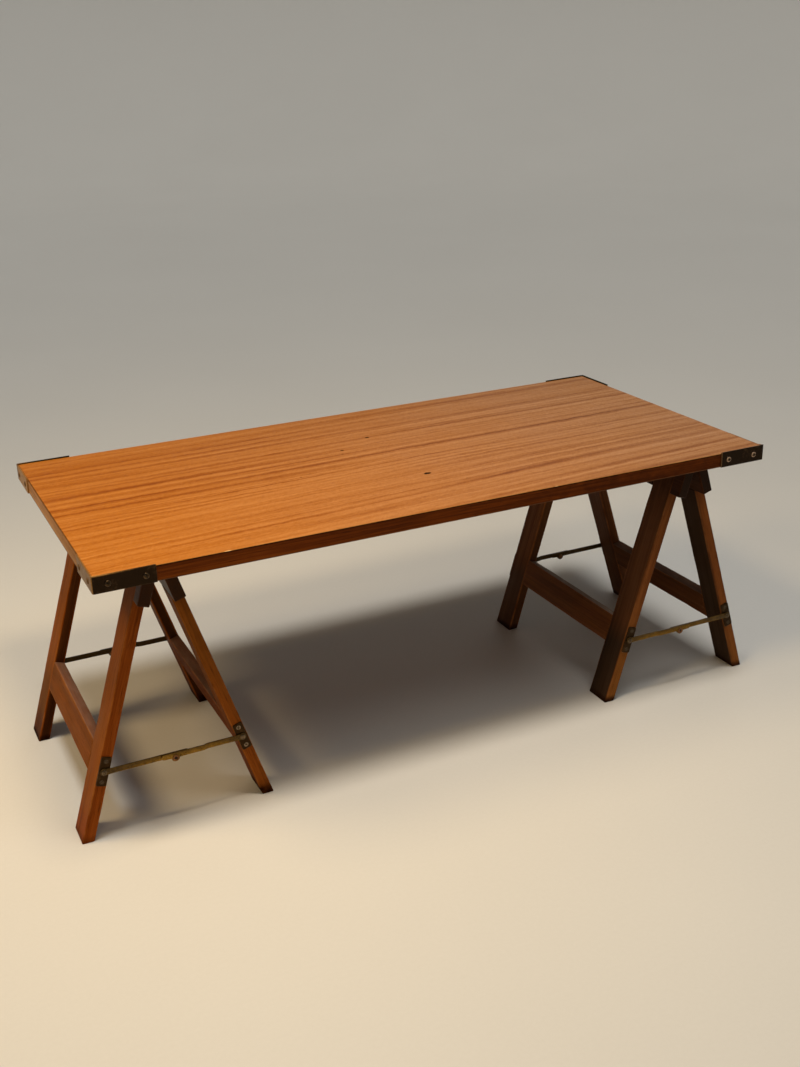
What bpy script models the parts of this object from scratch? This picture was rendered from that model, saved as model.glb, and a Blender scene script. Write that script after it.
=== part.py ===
"""Trestle coffee table: a loose veneered top with corner brackets on two folding trestles.

Frame: +X along the table, +Y towards the back, +Z up, metres.
The origin is on the floor under the middle of the whole object.
"""
import math

import bpy
import bmesh
from mathutils import Vector

# ---------------------------------------------------------------- driving dimensions
GAP = 0.0003                 # clearance between touching pieces

TABLE_HEIGHT = 0.444
TOP_LENGTH = 1.150
TOP_DEPTH = 0.550
TOP_THICKNESS = 0.024
TOP_CENTRE_X = 0.014         # the loose top lies a little to the right on its trestles
FACE_VENEER = 0.0009
BACK_VENEER = 0.0006
LIPPING = 0.010
CORNER_EASE = 0.0012         # eased vertical corners of the panel under the brackets

BRACKET_ARM = 0.088
BRACKET_T = 0.0024
BRACKET_INSET = 0.0002       # how far the strip stays inside the edge's height
BRACKET_HOLES = (0.020, 0.073)
BRACKET_HOLE_R = 0.0023

TRESTLE_X = 0.4625           # ridge lines at minus and plus this
TRESTLE_Y = {"left": -0.0315, "right": -0.0465}
LEAN = math.radians(17.25)   # each leaf from the vertical, when open
HINGE_DROP = 0.0040          # hinge pin axis below the underside of the top
LEAF_OFFSET = 0.0041         # hinge plane to the inner face of a leaf
BOARD = 0.018                # thickness of every trestle board
LEG_W = 0.050
RAIL_W = 0.050
STRETCHER_W = 0.050
FRAME_DEPTH = 0.384          # over the legs' narrow faces, front to back
RAIL_END = 0.023             # rail end past the legs
STRETCHER_UP = 0.1245        # stretcher centre line above the floor, along the leaf
BOARD_EASE = 0.0014
TENON_INSET = 0.006
TENON_LEN = 0.024

HINGE_Y = 0.100              # hinge centres from the middle of the rail
HINGE_LEN = 0.060
HINGE_PLATE_T = 0.0015
HINGE_PLATE_W = 0.022
KNUCKLE_R = 0.0032
KNUCKLE_BORE = 0.0017
KNUCKLES = 5
PIN_R = 0.0014

STAY_Z = 0.1145              # leg pivots of the stays above the floor
STAY_SAG = 0.0045            # centre pivot below the line of the leg pivots
STAY_PLATE_L = 0.048
STAY_PLATE_W = 0.0160
STAY_PLATE_T = 0.0016
STAY_PLATE_HOLES = 0.0170
STAY_HOLE_R = 0.0018
STUD_R = 0.0022
STUD_HEAD_R = 0.0042
STUD_HEAD_T = 0.0013
LINK_H = 0.0086
LINK_T = 0.0020
LINK_EYE_R = 0.0058
LINK_EYE_BORE = 0.0025
LINK_LOBE_R = 0.0062
LINK_PAST = 0.0215           # bar end past the centre pivot
LINK_STEP = (0.055, 0.064)   # where the inner link steps forward over the outer one
RIVET_R = 0.0020
RIVET_BORE = 0.0023
RIVET_HEAD_R = 0.0045
RIVET_HEAD_T = 0.0012
EYELET_R = 0.0052
EYELET_H = 0.0015
EYELET_BORE = 0.0024

UNDER_Z = TABLE_HEIGHT - TOP_THICKNESS
PIN_Z = UNDER_Z - HINGE_DROP
COS_L, SIN_L = math.cos(LEAN), math.sin(LEAN)


# ---------------------------------------------------------------- scene and materials
for ob in list(bpy.data.objects):
    bpy.data.objects.remove(ob, do_unlink=True)


def material(name, colour, roughness, metallic):
    mat = bpy.data.materials.new(name)
    mat.use_nodes = True
    bsdf = mat.node_tree.nodes["Principled BSDF"]
    bsdf.inputs["Base Color"].default_value = (*colour, 1.0)
    bsdf.inputs["Roughness"].default_value = roughness
    bsdf.inputs["Metallic"].default_value = metallic
    mat.diffuse_color = (*colour, 1.0)
    return mat


MAT = {
    "top_veneer": material("top_veneer", (0.50, 0.20, 0.055), 0.42, 0.0),
    "panel_core": material("panel_core", (0.42, 0.27, 0.14), 0.70, 0.0),
    "backing_veneer": material("backing_veneer", (0.26, 0.11, 0.045), 0.60, 0.0),
    "lipping": material("lipping", (0.085, 0.028, 0.010), 0.38, 0.0),
    "trestle_wood": material("trestle_wood", (0.11, 0.036, 0.013), 0.40, 0.0),
    "bracket_metal": material("bracket_metal", (0.020, 0.015, 0.012), 0.45, 0.9),
    "stay_brass": material("stay_brass", (0.33, 0.20, 0.07), 0.42, 1.0),
    "plate_brass": material("plate_brass", (0.09, 0.055, 0.025), 0.50, 1.0),
    "hinge_steel": material("hinge_steel", (0.16, 0.13, 0.10), 0.50, 1.0),
}


# ---------------------------------------------------------------- mesh helpers
def empty(name, location, parent=None, rotation=(0.0, 0.0, 0.0)):
    ob = bpy.data.objects.new(name, None)
    ob.empty_display_size = 0.02
    ob.location = location
    ob.rotation_euler = rotation
    ob.parent = parent
    bpy.context.scene.collection.objects.link(ob)
    return ob


def finish_mesh(bm, name):
    bmesh.ops.recalc_face_normals(bm, faces=bm.faces[:])
    mesh = bpy.data.meshes.new(name)
    bm.to_mesh(mesh)
    bm.free()
    return mesh


def put(name, bm, mat, parent=None, location=(0.0, 0.0, 0.0), smooth=False):
    mesh = finish_mesh(bm, name)
    mesh.materials.append(MAT[mat])
    if smooth:
        mesh.shade_smooth()
        mesh.set_sharp_from_angle(angle=math.radians(35.0))
    ob = bpy.data.objects.new(name, mesh)
    ob.location = location
    ob.parent = parent
    bpy.context.scene.collection.objects.link(ob)
    return ob


def boolean(ob, bm, operation, tag):
    """Add a Boolean with a hidden tool body made from bm, in ob's own frame."""
    tool = bpy.data.objects.new("%s.%s" % (ob.name[:40], tag), finish_mesh(bm, tag))
    tool.parent = ob
    tool.hide_render = True
    tool.display_type = "WIRE"
    bpy.context.scene.collection.objects.link(tool)
    mod = ob.modifiers.new(tag, "BOOLEAN")
    mod.operation = operation
    mod.object = tool
    mod.solver = "EXACT"
    return tool


def prism(bm, outline, lo, hi, axes):
    """Extrude a closed outline; axes names the outline's two axes and the depth axis."""
    order = ["xyz".index(a) for a in axes]

    def point(u, v, w):
        co = [0.0, 0.0, 0.0]
        for axis, value in zip(order, (u, v, w)):
            co[axis] = value
        return Vector(co)

    low = [bm.verts.new(point(u, v, lo)) for u, v in outline]
    high = [bm.verts.new(point(u, v, hi)) for u, v in outline]
    bm.faces.new(low[::-1])
    bm.faces.new(high)
    n = len(outline)
    for i in range(n):
        j = (i + 1) % n
        bm.faces.new((low[i], low[j], high[j], high[i]))
    return low + high


def box(bm, lo, hi):
    return prism(bm, [(lo[0], lo[1]), (hi[0], lo[1]), (hi[0], hi[1]), (lo[0], hi[1])],
                 lo[2], hi[2], "xyz")


def arc(cx, cz, r, start, stop, steps):
    """Points on an arc, in degrees, both ends included."""
    out = []
    for i in range(steps + 1):
        a = math.radians(start + (stop - start) * i / steps)
        out.append((cx + r * math.cos(a), cz + r * math.sin(a)))
    return out


def circle(cx, cz, r, sides):
    return arc(cx, cz, r, 0.0, 360.0, sides)[:-1]


def mirror(bm, sx, sy):
    bmesh.ops.scale(bm, vec=(sx, sy, 1.0), verts=bm.verts[:])


def ease(bm, test, width, segments=2):
    edges = [e for e in bm.edges if test(e)]
    bmesh.ops.bevel(bm, geom=edges, offset=width, offset_type="OFFSET",
                    segments=segments, profile=0.5, affect="EDGES", clamp_overlap=True)


def along(edge, axis):
    d = (edge.verts[1].co - edge.verts[0].co).normalized()
    return abs(d["xyz".index(axis)]) > 0.999


def spun(bm, profile, sides):
    """Turn a closed profile of (radius, y) points about the Y axis."""
    rings = []
    for i in range(sides):
        a = 2.0 * math.pi * i / sides
        rings.append([bm.verts.new((r * math.cos(a), y, r * math.sin(a)))
                      if r > 1e-7 else None for r, y in profile])
    tips = {k: bm.verts.new((0.0, y, 0.0)) for k, (r, y) in enumerate(profile) if r <= 1e-7}
    n = len(profile)
    for i in range(sides):
        a, b = rings[i], rings[(i + 1) % sides]
        for k in range(n - 1):
            quad = []
            for v in (a[k] or tips[k], a[k + 1] or tips[k + 1],
                      b[k + 1] or tips[k + 1], b[k] or tips[k]):
                if v not in quad:
                    quad.append(v)
            if len(quad) > 2:
                bm.faces.new(quad)


# ---------------------------------------------------------------- the top
def build_top():
    seat = empty("top_seat", (TOP_CENTRE_X, 0.0, UNDER_Z))
    hx, hy = TOP_LENGTH / 2, TOP_DEPTH / 2
    z_back = BACK_VENEER
    z_face = TOP_THICKNESS - FACE_VENEER
    lo_z, hi_z = z_back + GAP, z_face - GAP

    def corner_edges(e):
        return along(e, "z") and all(abs(abs(v.co.x) - hx) < 1e-6 and
                                     abs(abs(v.co.y) - hy) < 1e-6 for v in e.verts)

    bm = bmesh.new()
    box(bm, (-hx, -hy, z_face), (hx, hy, TOP_THICKNESS))
    ease(bm, corner_edges, CORNER_EASE)
    put("top_face_veneer", bm, "top_veneer", seat)

    bm = bmesh.new()
    box(bm, (-hx, -hy, 0.0), (hx, hy, z_back))
    ease(bm, corner_edges, CORNER_EASE)
    put("top_backing_veneer", bm, "backing_veneer", seat)

    bm = bmesh.new()
    cx, cy = hx - LIPPING - GAP, hy - LIPPING - GAP
    box(bm, (-cx, -cy, lo_z), (cx, cy, hi_z))
    put("top_panel_core", bm, "panel_core", seat)

    for name, side in (("front", -1), ("back", 1)):
        bm = bmesh.new()
        y0, y1 = sorted((side * hy, side * (hy - LIPPING)))
        box(bm, (-hx, y0, lo_z), (hx, y1, hi_z))
        ease(bm, corner_edges, CORNER_EASE)
        put("top_%s_lipping" % name, bm, "lipping", seat)
    for name, side in (("left", -1), ("right", 1)):
        bm = bmesh.new()
        x0, x1 = sorted((side * hx, side * (hx - LIPPING)))
        box(bm, (x0, -cy, lo_z), (x1, cy, hi_z))
        put("top_%s_lipping" % name, bm, "lipping", seat)

    # bent strip brackets: an L with a rounded outer bend, drawn at the +X +Y corner
    ox, oy = hx + GAP, hy + GAP
    bend = BRACKET_T + CORNER_EASE
    zb0, zb1 = BRACKET_INSET, TOP_THICKNESS - BRACKET_INSET
    for name, sx, sy in (("front_left", -1, -1), ("front_right", 1, -1),
                         ("back_left", -1, 1), ("back_right", 1, 1)):
        outline = [(ox, hy - BRACKET_ARM), (ox + BRACKET_T, hy - BRACKET_ARM)]
        outline += arc(ox - CORNER_EASE, oy - CORNER_EASE, bend, 0.0, 90.0, 6)
        outline += [(hx - BRACKET_ARM, oy + BRACKET_T), (hx - BRACKET_ARM, oy)]
        outline += arc(ox - CORNER_EASE, oy - CORNER_EASE, CORNER_EASE, 90.0, 0.0, 4)
        bm = bmesh.new()
        prism(bm, outline, zb0, zb1, "xyz")
        mirror(bm, sx, sy)
        plate = put("%s_corner_bracket" % name, bm, "bracket_metal", seat, smooth=True)
        holes = bmesh.new()
        zm = TOP_THICKNESS / 2
        for d in BRACKET_HOLES:
            prism(holes, circle(hx - d, zm, BRACKET_HOLE_R, 8),
                  hy - 0.002, oy + BRACKET_T + 0.002, "xzy")
            prism(holes, circle(hy - d, zm, BRACKET_HOLE_R, 8),
                  hx - 0.002, ox + BRACKET_T + 0.002, "yzx")
        mirror(holes, sx, sy)
        boolean(plate, holes, "DIFFERENCE", "screw_holes")


# ---------------------------------------------------------------- trestle boards
# Leaf frame: origin on the hinge pin, x across the boards (positive away from the hinge
# plane before mirroring), y along the rail, z up the leaf.
X_IN = LEAF_OFFSET
X_OUT = LEAF_OFFSET + BOARD
X_MID = LEAF_OFFSET + BOARD / 2


def leaf_z(x, world_z):
    """Height in the leaf frame of a level plane, at a distance x from the hinge plane."""
    return (world_z - PIN_Z - x * SIN_L) / COS_L


RAIL_TOP = UNDER_Z - GAP
RAIL_BOTTOM = leaf_z(X_MID, RAIL_TOP) - RAIL_W
LEG_TOP = RAIL_BOTTOM - GAP                      # shoulder of the halving
X_LAP = X_MID                                    # face of the halving
STRETCHER_Z = leaf_z(X_OUT, STRETCHER_UP * COS_L)
PIVOT_Z = leaf_z(X_MID, STAY_Z)
HALF = FRAME_DEPTH / 2


def tenon(bm, test, length, direction):
    """Inset the chosen end face and draw it out into a tenon."""
    bm.faces.ensure_lookup_table()
    face = next(f for f in bm.faces if test(f))
    bmesh.ops.inset_individual(bm, faces=[face], thickness=TENON_INSET, use_even_offset=True)
    out = bmesh.ops.extrude_face_region(bm, geom=[face])
    verts = [g for g in out["geom"] if isinstance(g, bmesh.types.BMVert)]
    bmesh.ops.translate(bm, vec=Vector(direction) * length, verts=verts)
    bmesh.ops.delete(bm, geom=[face], context="FACES_ONLY")


def build_leaf(trestle, leaf, s, pivot):
    """The four boards of one leaf; s is the side of the ridge, -1 or +1 along X."""
    tag = "%s_%s" % (trestle, leaf)
    axis = empty("%s_leaf_axis" % tag, (0.0, 0.0, 0.0), pivot, (0.0, -s * LEAN, 0.0))
    t_half = BOARD / 2 - TENON_INSET

    # legs: feet cut level with the floor, tops halved over the outside of the rail
    for name, e in (("front", -1), ("back", 1)):
        bm = bmesh.new()
        profile = [(X_IN, leaf_z(X_IN, 0.0)), (X_OUT, leaf_z(X_OUT, 0.0)),
                   (X_OUT, leaf_z(X_OUT, RAIL_TOP)), (X_LAP, leaf_z(X_LAP, RAIL_TOP)),
                   (X_LAP, LEG_TOP), (X_IN, LEG_TOP)]
        y0, y1 = HALF - LEG_W, HALF
        prism(bm, profile, y0, y1, "xzy")
        ease(bm, lambda e_: along(e_, "z") and (e_.verts[0].co - e_.verts[1].co).length > 0.1,
             BOARD_EASE)
        mirror(bm, s, e)
        leg = put("%s_%s_leg" % (tag, name), bm, "trestle_wood", axis)
        pocket = bmesh.new()
        sz = STRETCHER_W / 2 - TENON_INSET + GAP
        box(pocket, (X_MID - t_half - GAP, y0 - 0.005, STRETCHER_Z - sz),
            (X_MID + t_half + GAP, y0 + TENON_LEN + 0.0005, STRETCHER_Z + sz))
        mirror(pocket, s, e)
        boolean(leg, pocket, "DIFFERENCE", "mortise")

    # top rail: bevelled to lie flat under the top, ends standing out past the legs
    bm = bmesh.new()
    section = [(X_IN, RAIL_BOTTOM), (X_OUT, RAIL_BOTTOM),
               (X_OUT, leaf_z(X_OUT, RAIL_TOP)), (X_IN, leaf_z(X_IN, RAIL_TOP))]
    end = HALF + RAIL_END
    prism(bm, section, -end, end, "xzy")
    ease(bm, lambda e_: along(e_, "y") or
         (abs(abs(e_.verts[0].co.y) - end) < 1e-6 and abs(e_.verts[0].co.y - e_.verts[1].co.y) < 1e-6),
         BOARD_EASE)
    mirror(bm, s, 1)
    rail = put("%s_top_rail" % tag, bm, "trestle_wood", axis)
    laps = bmesh.new()
    for e in (-1, 1):
        y0, y1 = sorted((e * (HALF - LEG_W - GAP), e * (HALF + GAP)))
        box(laps, (X_LAP - GAP, y0, RAIL_BOTTOM - 0.005), (X_OUT + 0.005, y1, 0.012))
    mirror(laps, s, 1)
    boolean(rail, laps, "DIFFERENCE", "halvings")

    # stretcher: flush with the legs, tenoned into both
    bm = bmesh.new()
    sy = HALF - LEG_W - GAP
    z0, z1 = STRETCHER_Z - STRETCHER_W / 2, STRETCHER_Z + STRETCHER_W / 2
    box(bm, (X_IN, -sy, z0), (X_OUT, sy, z1))
    bmesh.ops.recalc_face_normals(bm, faces=bm.faces[:])
    tenon(bm, lambda f: f.normal.y > 0.99, TENON_LEN, (0, 1, 0))
    tenon(bm, lambda f: f.normal.y < -0.99, TENON_LEN, (0, -1, 0))
    ease(bm, lambda e_: along(e_, "y") and (e_.verts[0].co - e_.verts[1].co).length > 0.1,
         BOARD_EASE)
    mirror(bm, s, 1)
    put("%s_stretcher" % tag, bm, "trestle_wood", axis)
    return axis


# ---------------------------------------------------------------- ridge hinges
def build_hinge(trestle, name, y_mid, axes, pivot):
    """A butt hinge on the inner faces of the two rails, knuckles on the ridge line."""
    y0 = y_mid - HINGE_LEN / 2
    step = HINGE_LEN / KNUCKLES
    x_hi = X_IN - GAP
    x_lo = x_hi - HINGE_PLATE_T
    meet = math.degrees(math.acos(x_lo / KNUCKLE_R))
    for k, leaf in enumerate(("outer", "inner")):
        s, axis = axes[leaf]
        outline = [(x_lo, -HINGE_PLATE_W), (x_hi, -HINGE_PLATE_W), (x_hi, 0.0)]
        outline += arc(0.0, 0.0, KNUCKLE_R, 0.0, 360.0 - meet, 11)
        bm = bmesh.new()
        prism(bm, outline, y0, y0 + HINGE_LEN, "xzy")
        mirror(bm, s, 1)
        plate = put("%s_%s_hinge_%s_plate" % (trestle, name, leaf), bm, "hinge_steel", axis,
                    smooth=True)
        cut = bmesh.new()
        for i in range(KNUCKLES):
            if i % 2 == k:
                continue
            a = y0 + i * step - (GAP / 2 if i else 0.002)
            b = y0 + (i + 1) * step + (GAP / 2 if i < KNUCKLES - 1 else 0.002)
            box(cut, (-0.006, a, -KNUCKLE_R - 0.0007), (0.006, b, 0.006))
        for dy in (-0.018, 0.018):
            prism(cut, circle(y_mid + dy, -HINGE_PLATE_W * 0.62, 0.0019, 8),
                  x_lo - 0.001, x_hi + 0.001, "yzx")
        mirror(cut, s, 1)
        boolean(plate, cut, "DIFFERENCE", "notches")
        bore = bmesh.new()
        prism(bore, circle(0.0, 0.0, KNUCKLE_BORE, 10), y0 - 0.002, y0 + HINGE_LEN + 0.002, "xzy")
        boolean(plate, bore, "DIFFERENCE", "pin_bore")

    bm = bmesh.new()
    half = HINGE_LEN / 2 + 0.0006
    spun(bm, [(0.0, -half), (PIN_R - 0.0004, -half), (PIN_R, -half + 0.0004),
              (PIN_R, half - 0.0004), (PIN_R - 0.0004, half), (0.0, half)], 10)
    put("%s_%s_hinge_pin" % (trestle, name), bm, "hinge_steel", pivot, (0.0, y_mid, 0.0),
        smooth=True)


# ---------------------------------------------------------------- folding stays
PLATE_LO = HALF + GAP
PLATE_HI = PLATE_LO + STAY_PLATE_T
LINK_LO = PLATE_HI + GAP
LINK_HI = LINK_LO + LINK_T
PIVOT_X = X_MID * COS_L - PIVOT_Z * SIN_L        # leg pivot from the ridge plane, when open
STEP = LINK_T + GAP


def link_outline():
    """Bar with an eye on the leg pivot and a lobe round the centre pivot, at +x."""
    h = LINK_H / 2
    a = math.degrees(math.asin(h / LINK_EYE_R))
    lobe = math.degrees(math.asin((STAY_SAG - h) / LINK_LOBE_R))
    out = arc(0.0, 0.0, LINK_EYE_R, a, 360.0 - a, 12)
    out += arc(PIVOT_X, -STAY_SAG, LINK_LOBE_R, 180.0 - lobe, 360.0 + lobe, 8)
    tip = PIVOT_X + LINK_PAST
    out += arc(tip - 0.0035, -h + 0.0035, 0.0035, -90.0, 0.0, 3)
    out += arc(tip - 0.0035, h - 0.0035, 0.0035, 0.0, 90.0, 3)
    return out


def build_stay(trestle, name, e, axes):
    """Front (e = -1) or back (e = +1) stay between the narrow faces of two legs."""
    for leaf in ("outer", "inner"):
        s, axis = axes[leaf]
        tag = "%s_%s_stay_%s" % (trestle, name, leaf)

        # leg plate with its riveted stud
        bm = bmesh.new()
        w, l = STAY_PLATE_W / 2, STAY_PLATE_L / 2
        box(bm, (X_MID - w, PLATE_LO, PIVOT_Z - l), (X_MID + w, PLATE_HI, PIVOT_Z + l))
        ease(bm, lambda e_: along(e_, "y"), 0.0022, 2)
        mirror(bm, s, e)
        plate = put("%s_plate" % tag, bm, "plate_brass", axis, smooth=True)
        stud = bmesh.new()
        y0 = PLATE_HI - 0.0008
        y1 = LINK_HI + GAP
        y2 = y1 + STUD_HEAD_T
        spun(stud, [(0.0, y0), (STUD_R, y0), (STUD_R, y1), (STUD_HEAD_R, y1),
                    (STUD_HEAD_R, y1 + 0.0004), (STUD_HEAD_R * 0.86, y1 + 0.0009),
                    (STUD_HEAD_R * 0.5, y2), (0.0, y2)], 12)
        bmesh.ops.translate(stud, vec=(X_MID, 0.0, PIVOT_Z), verts=stud.verts[:])
        mirror(stud, s, e)
        boolean(plate, stud, "UNION", "stud")
        holes = bmesh.new()
        for d in (-STAY_PLATE_HOLES, STAY_PLATE_HOLES):
            prism(holes, circle(X_MID, PIVOT_Z + d, STAY_HOLE_R, 8),
                  PLATE_LO - 0.001, PLATE_HI + 0.001, "xzy")
        mirror(holes, s, e)
        boolean(plate, holes, "DIFFERENCE", "screw_holes")

        # link, drawn level, hung on its leg pivot
        pivot = empty("%s_pivot" % tag, (s * X_MID, 0.0, PIVOT_Z), axis, (0.0, s * LEAN, 0.0))
        bm = bmesh.new()
        prism(bm, link_outline(), LINK_LO, LINK_HI, "xzy")
        if leaf == "inner":
            for x in LINK_STEP:
                bmesh.ops.bisect_plane(bm, geom=bm.verts[:] + bm.edges[:] + bm.faces[:],
                                       dist=1e-6, plane_co=(x, 0.0, 0.0), plane_no=(1.0, 0.0, 0.0))
            bmesh.ops.translate(bm, vec=(0.0, STEP, 0.0),
                                verts=[v for v in bm.verts if v.co.x > LINK_STEP[1] - 1e-5])
        mirror(bm, -s, e)
        link = put("%s_link" % tag, bm, "stay_brass", pivot, smooth=True)
        eye = bmesh.new()
        prism(eye, circle(0.0, 0.0, LINK_EYE_BORE, 12), LINK_LO - 0.001, LINK_HI + 0.001, "xzy")
        if leaf == "outer":
            prism(eye, circle(PIVOT_X, -STAY_SAG, RIVET_BORE, 12),
                  LINK_LO - 0.001, LINK_HI + 0.001, "xzy")
        mirror(eye, -s, e)
        boolean(link, eye, "DIFFERENCE", "bores")

        if leaf == "inner":
            # formed eyelet end of the centre rivet, on the front of the inner link
            front = LINK_HI + STEP
            ring = bmesh.new()
            spun(ring, [(0.0, front - 0.0006), (EYELET_R, front - 0.0006),
                        (EYELET_R, front + EYELET_H - 0.0006), (EYELET_R - 0.0006, front + EYELET_H),
                        (EYELET_BORE + 0.0004, front + EYELET_H),
                        (EYELET_BORE, front + EYELET_H - 0.0004),
                        (EYELET_BORE, front - 0.0002), (0.0, front - 0.0002)], 14)
            bmesh.ops.translate(ring, vec=(PIVOT_X, 0.0, -STAY_SAG), verts=ring.verts[:])
            mirror(ring, -s, e)
            boolean(link, ring, "UNION", "eyelet")
        else:
            # tail half of the centre rivet, through the outer link
            bm = bmesh.new()
            back = LINK_LO - GAP
            spun(bm, [(0.0, back - RIVET_HEAD_T), (RIVET_HEAD_R * 0.6, back - RIVET_HEAD_T),
                      (RIVET_HEAD_R, back - RIVET_HEAD_T * 0.4), (RIVET_HEAD_R, back),
                      (RIVET_R, back), (RIVET_R, LINK_HI), (0.0, LINK_HI)], 12)
            bmesh.ops.translate(bm, vec=(PIVOT_X, 0.0, -STAY_SAG), verts=bm.verts[:])
            mirror(bm, -s, e)
            put("%s_%s_stay_rivet" % (trestle, name), bm, "stay_brass", pivot, smooth=True)


# ---------------------------------------------------------------- assembly
build_top()
for trestle, side in (("left", -1), ("right", 1)):
    ridge = empty("%s_ridge" % trestle, (side * TRESTLE_X, TRESTLE_Y[trestle], PIN_Z))
    leaf_axes = {}
    for leaf, s in (("outer", side), ("inner", -side)):
        leaf_axes[leaf] = (s, build_leaf(trestle, leaf, s, ridge))
    build_hinge(trestle, "front", -HINGE_Y, leaf_axes, ridge)
    build_hinge(trestle, "back", HINGE_Y, leaf_axes, ridge)
    build_stay(trestle, "front", -1, leaf_axes)
    build_stay(trestle, "back", 1, leaf_axes)
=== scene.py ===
import math
import random

import bmesh
import bpy
from mathutils import Matrix, Vector, noise


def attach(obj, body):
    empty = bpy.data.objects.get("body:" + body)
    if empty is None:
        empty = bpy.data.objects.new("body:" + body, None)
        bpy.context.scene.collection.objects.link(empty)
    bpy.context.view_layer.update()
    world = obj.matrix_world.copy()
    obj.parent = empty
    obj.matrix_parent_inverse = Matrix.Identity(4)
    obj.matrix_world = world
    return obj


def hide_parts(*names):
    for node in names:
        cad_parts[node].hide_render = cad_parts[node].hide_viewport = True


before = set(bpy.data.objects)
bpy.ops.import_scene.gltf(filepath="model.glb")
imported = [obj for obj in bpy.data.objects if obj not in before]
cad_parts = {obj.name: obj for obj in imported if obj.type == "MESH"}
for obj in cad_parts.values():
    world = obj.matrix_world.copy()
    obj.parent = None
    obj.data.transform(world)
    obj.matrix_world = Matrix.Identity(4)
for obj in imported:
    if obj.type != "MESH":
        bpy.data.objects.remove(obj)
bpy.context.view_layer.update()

SCENE = bpy.context.scene

# ------------------------------------------------------------------ dimensions (metres)
TABLE_HEIGHT = 0.444
TOP_L, TOP_D, TOP_T = 1.150, 0.550, 0.024
TOP_X = 0.014
FACE_VENEER, BACK_VENEER, LIPPING, CORNER_EASE = 0.0009, 0.0006, 0.010, 0.0012
GAP = 0.0003
BRACKET_ARM, BRACKET_T, BRACKET_INSET = 0.088, 0.0024, 0.0002
BRACKET_HOLES = (0.020, 0.073)

TRESTLE_X = 0.4625
TRESTLE_Y = {"left": -0.0315, "right": -0.0465}
LEAN = math.radians(17.25)
HINGE_DROP, LEAF_OFFSET, BOARD = 0.0040, 0.0041, 0.018
LEG_W = RAIL_W = STRETCHER_W = 0.050
HALF = 0.192
RAIL_END = 0.023
STRETCHER_UP = 0.1245
HINGE_Y, HINGE_LEN, HINGE_T, HINGE_W = 0.100, 0.060, 0.0015, 0.022
KNUCKLE_R, KNUCKLE_BORE, KNUCKLES, PIN_R = 0.0032, 0.0017, 5, 0.0014

STAY_Z, STAY_SAG = 0.1145, 0.0045
PLATE_L, PLATE_W, PLATE_T, PLATE_HOLES = 0.048, 0.0160, 0.0016, 0.0170
STUD_R, STUD_HEAD_R, STUD_HEAD_T = 0.0022, 0.0042, 0.0013
LINK_H, LINK_T, LINK_EYE_R, LINK_LOBE_R, LINK_PAST = 0.0086, 0.0020, 0.0058, 0.0062, 0.0215
LINK_STEP = (0.055, 0.064)
RIVET_R, RIVET_HEAD_R, RIVET_HEAD_T = 0.0020, 0.0045, 0.0012
EYELET_R, EYELET_H, EYELET_BORE = 0.0052, 0.0015, 0.0024

UNDER_Z = TABLE_HEIGHT - TOP_T
PIN_Z = UNDER_Z - HINGE_DROP
COS_L, SIN_L = math.cos(LEAN), math.sin(LEAN)
X_IN, X_OUT, X_MID = LEAF_OFFSET, LEAF_OFFSET + BOARD, LEAF_OFFSET + BOARD / 2


def leaf_z(x, world_z):
    return (world_z - PIN_Z - x * SIN_L) / COS_L


RAIL_BOTTOM = leaf_z(X_MID, UNDER_Z - GAP) - RAIL_W
STRETCHER_Z = leaf_z(X_OUT, STRETCHER_UP * COS_L)
PIVOT_Z = leaf_z(X_MID, STAY_Z)
PIVOT_X = X_MID * COS_L - PIVOT_Z * SIN_L
PLATE_LO = HALF + GAP
PLATE_HI = PLATE_LO + PLATE_T
LINK_LO = PLATE_HI + GAP
LINK_HI = LINK_LO + LINK_T
STEP = LINK_T + GAP


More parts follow.
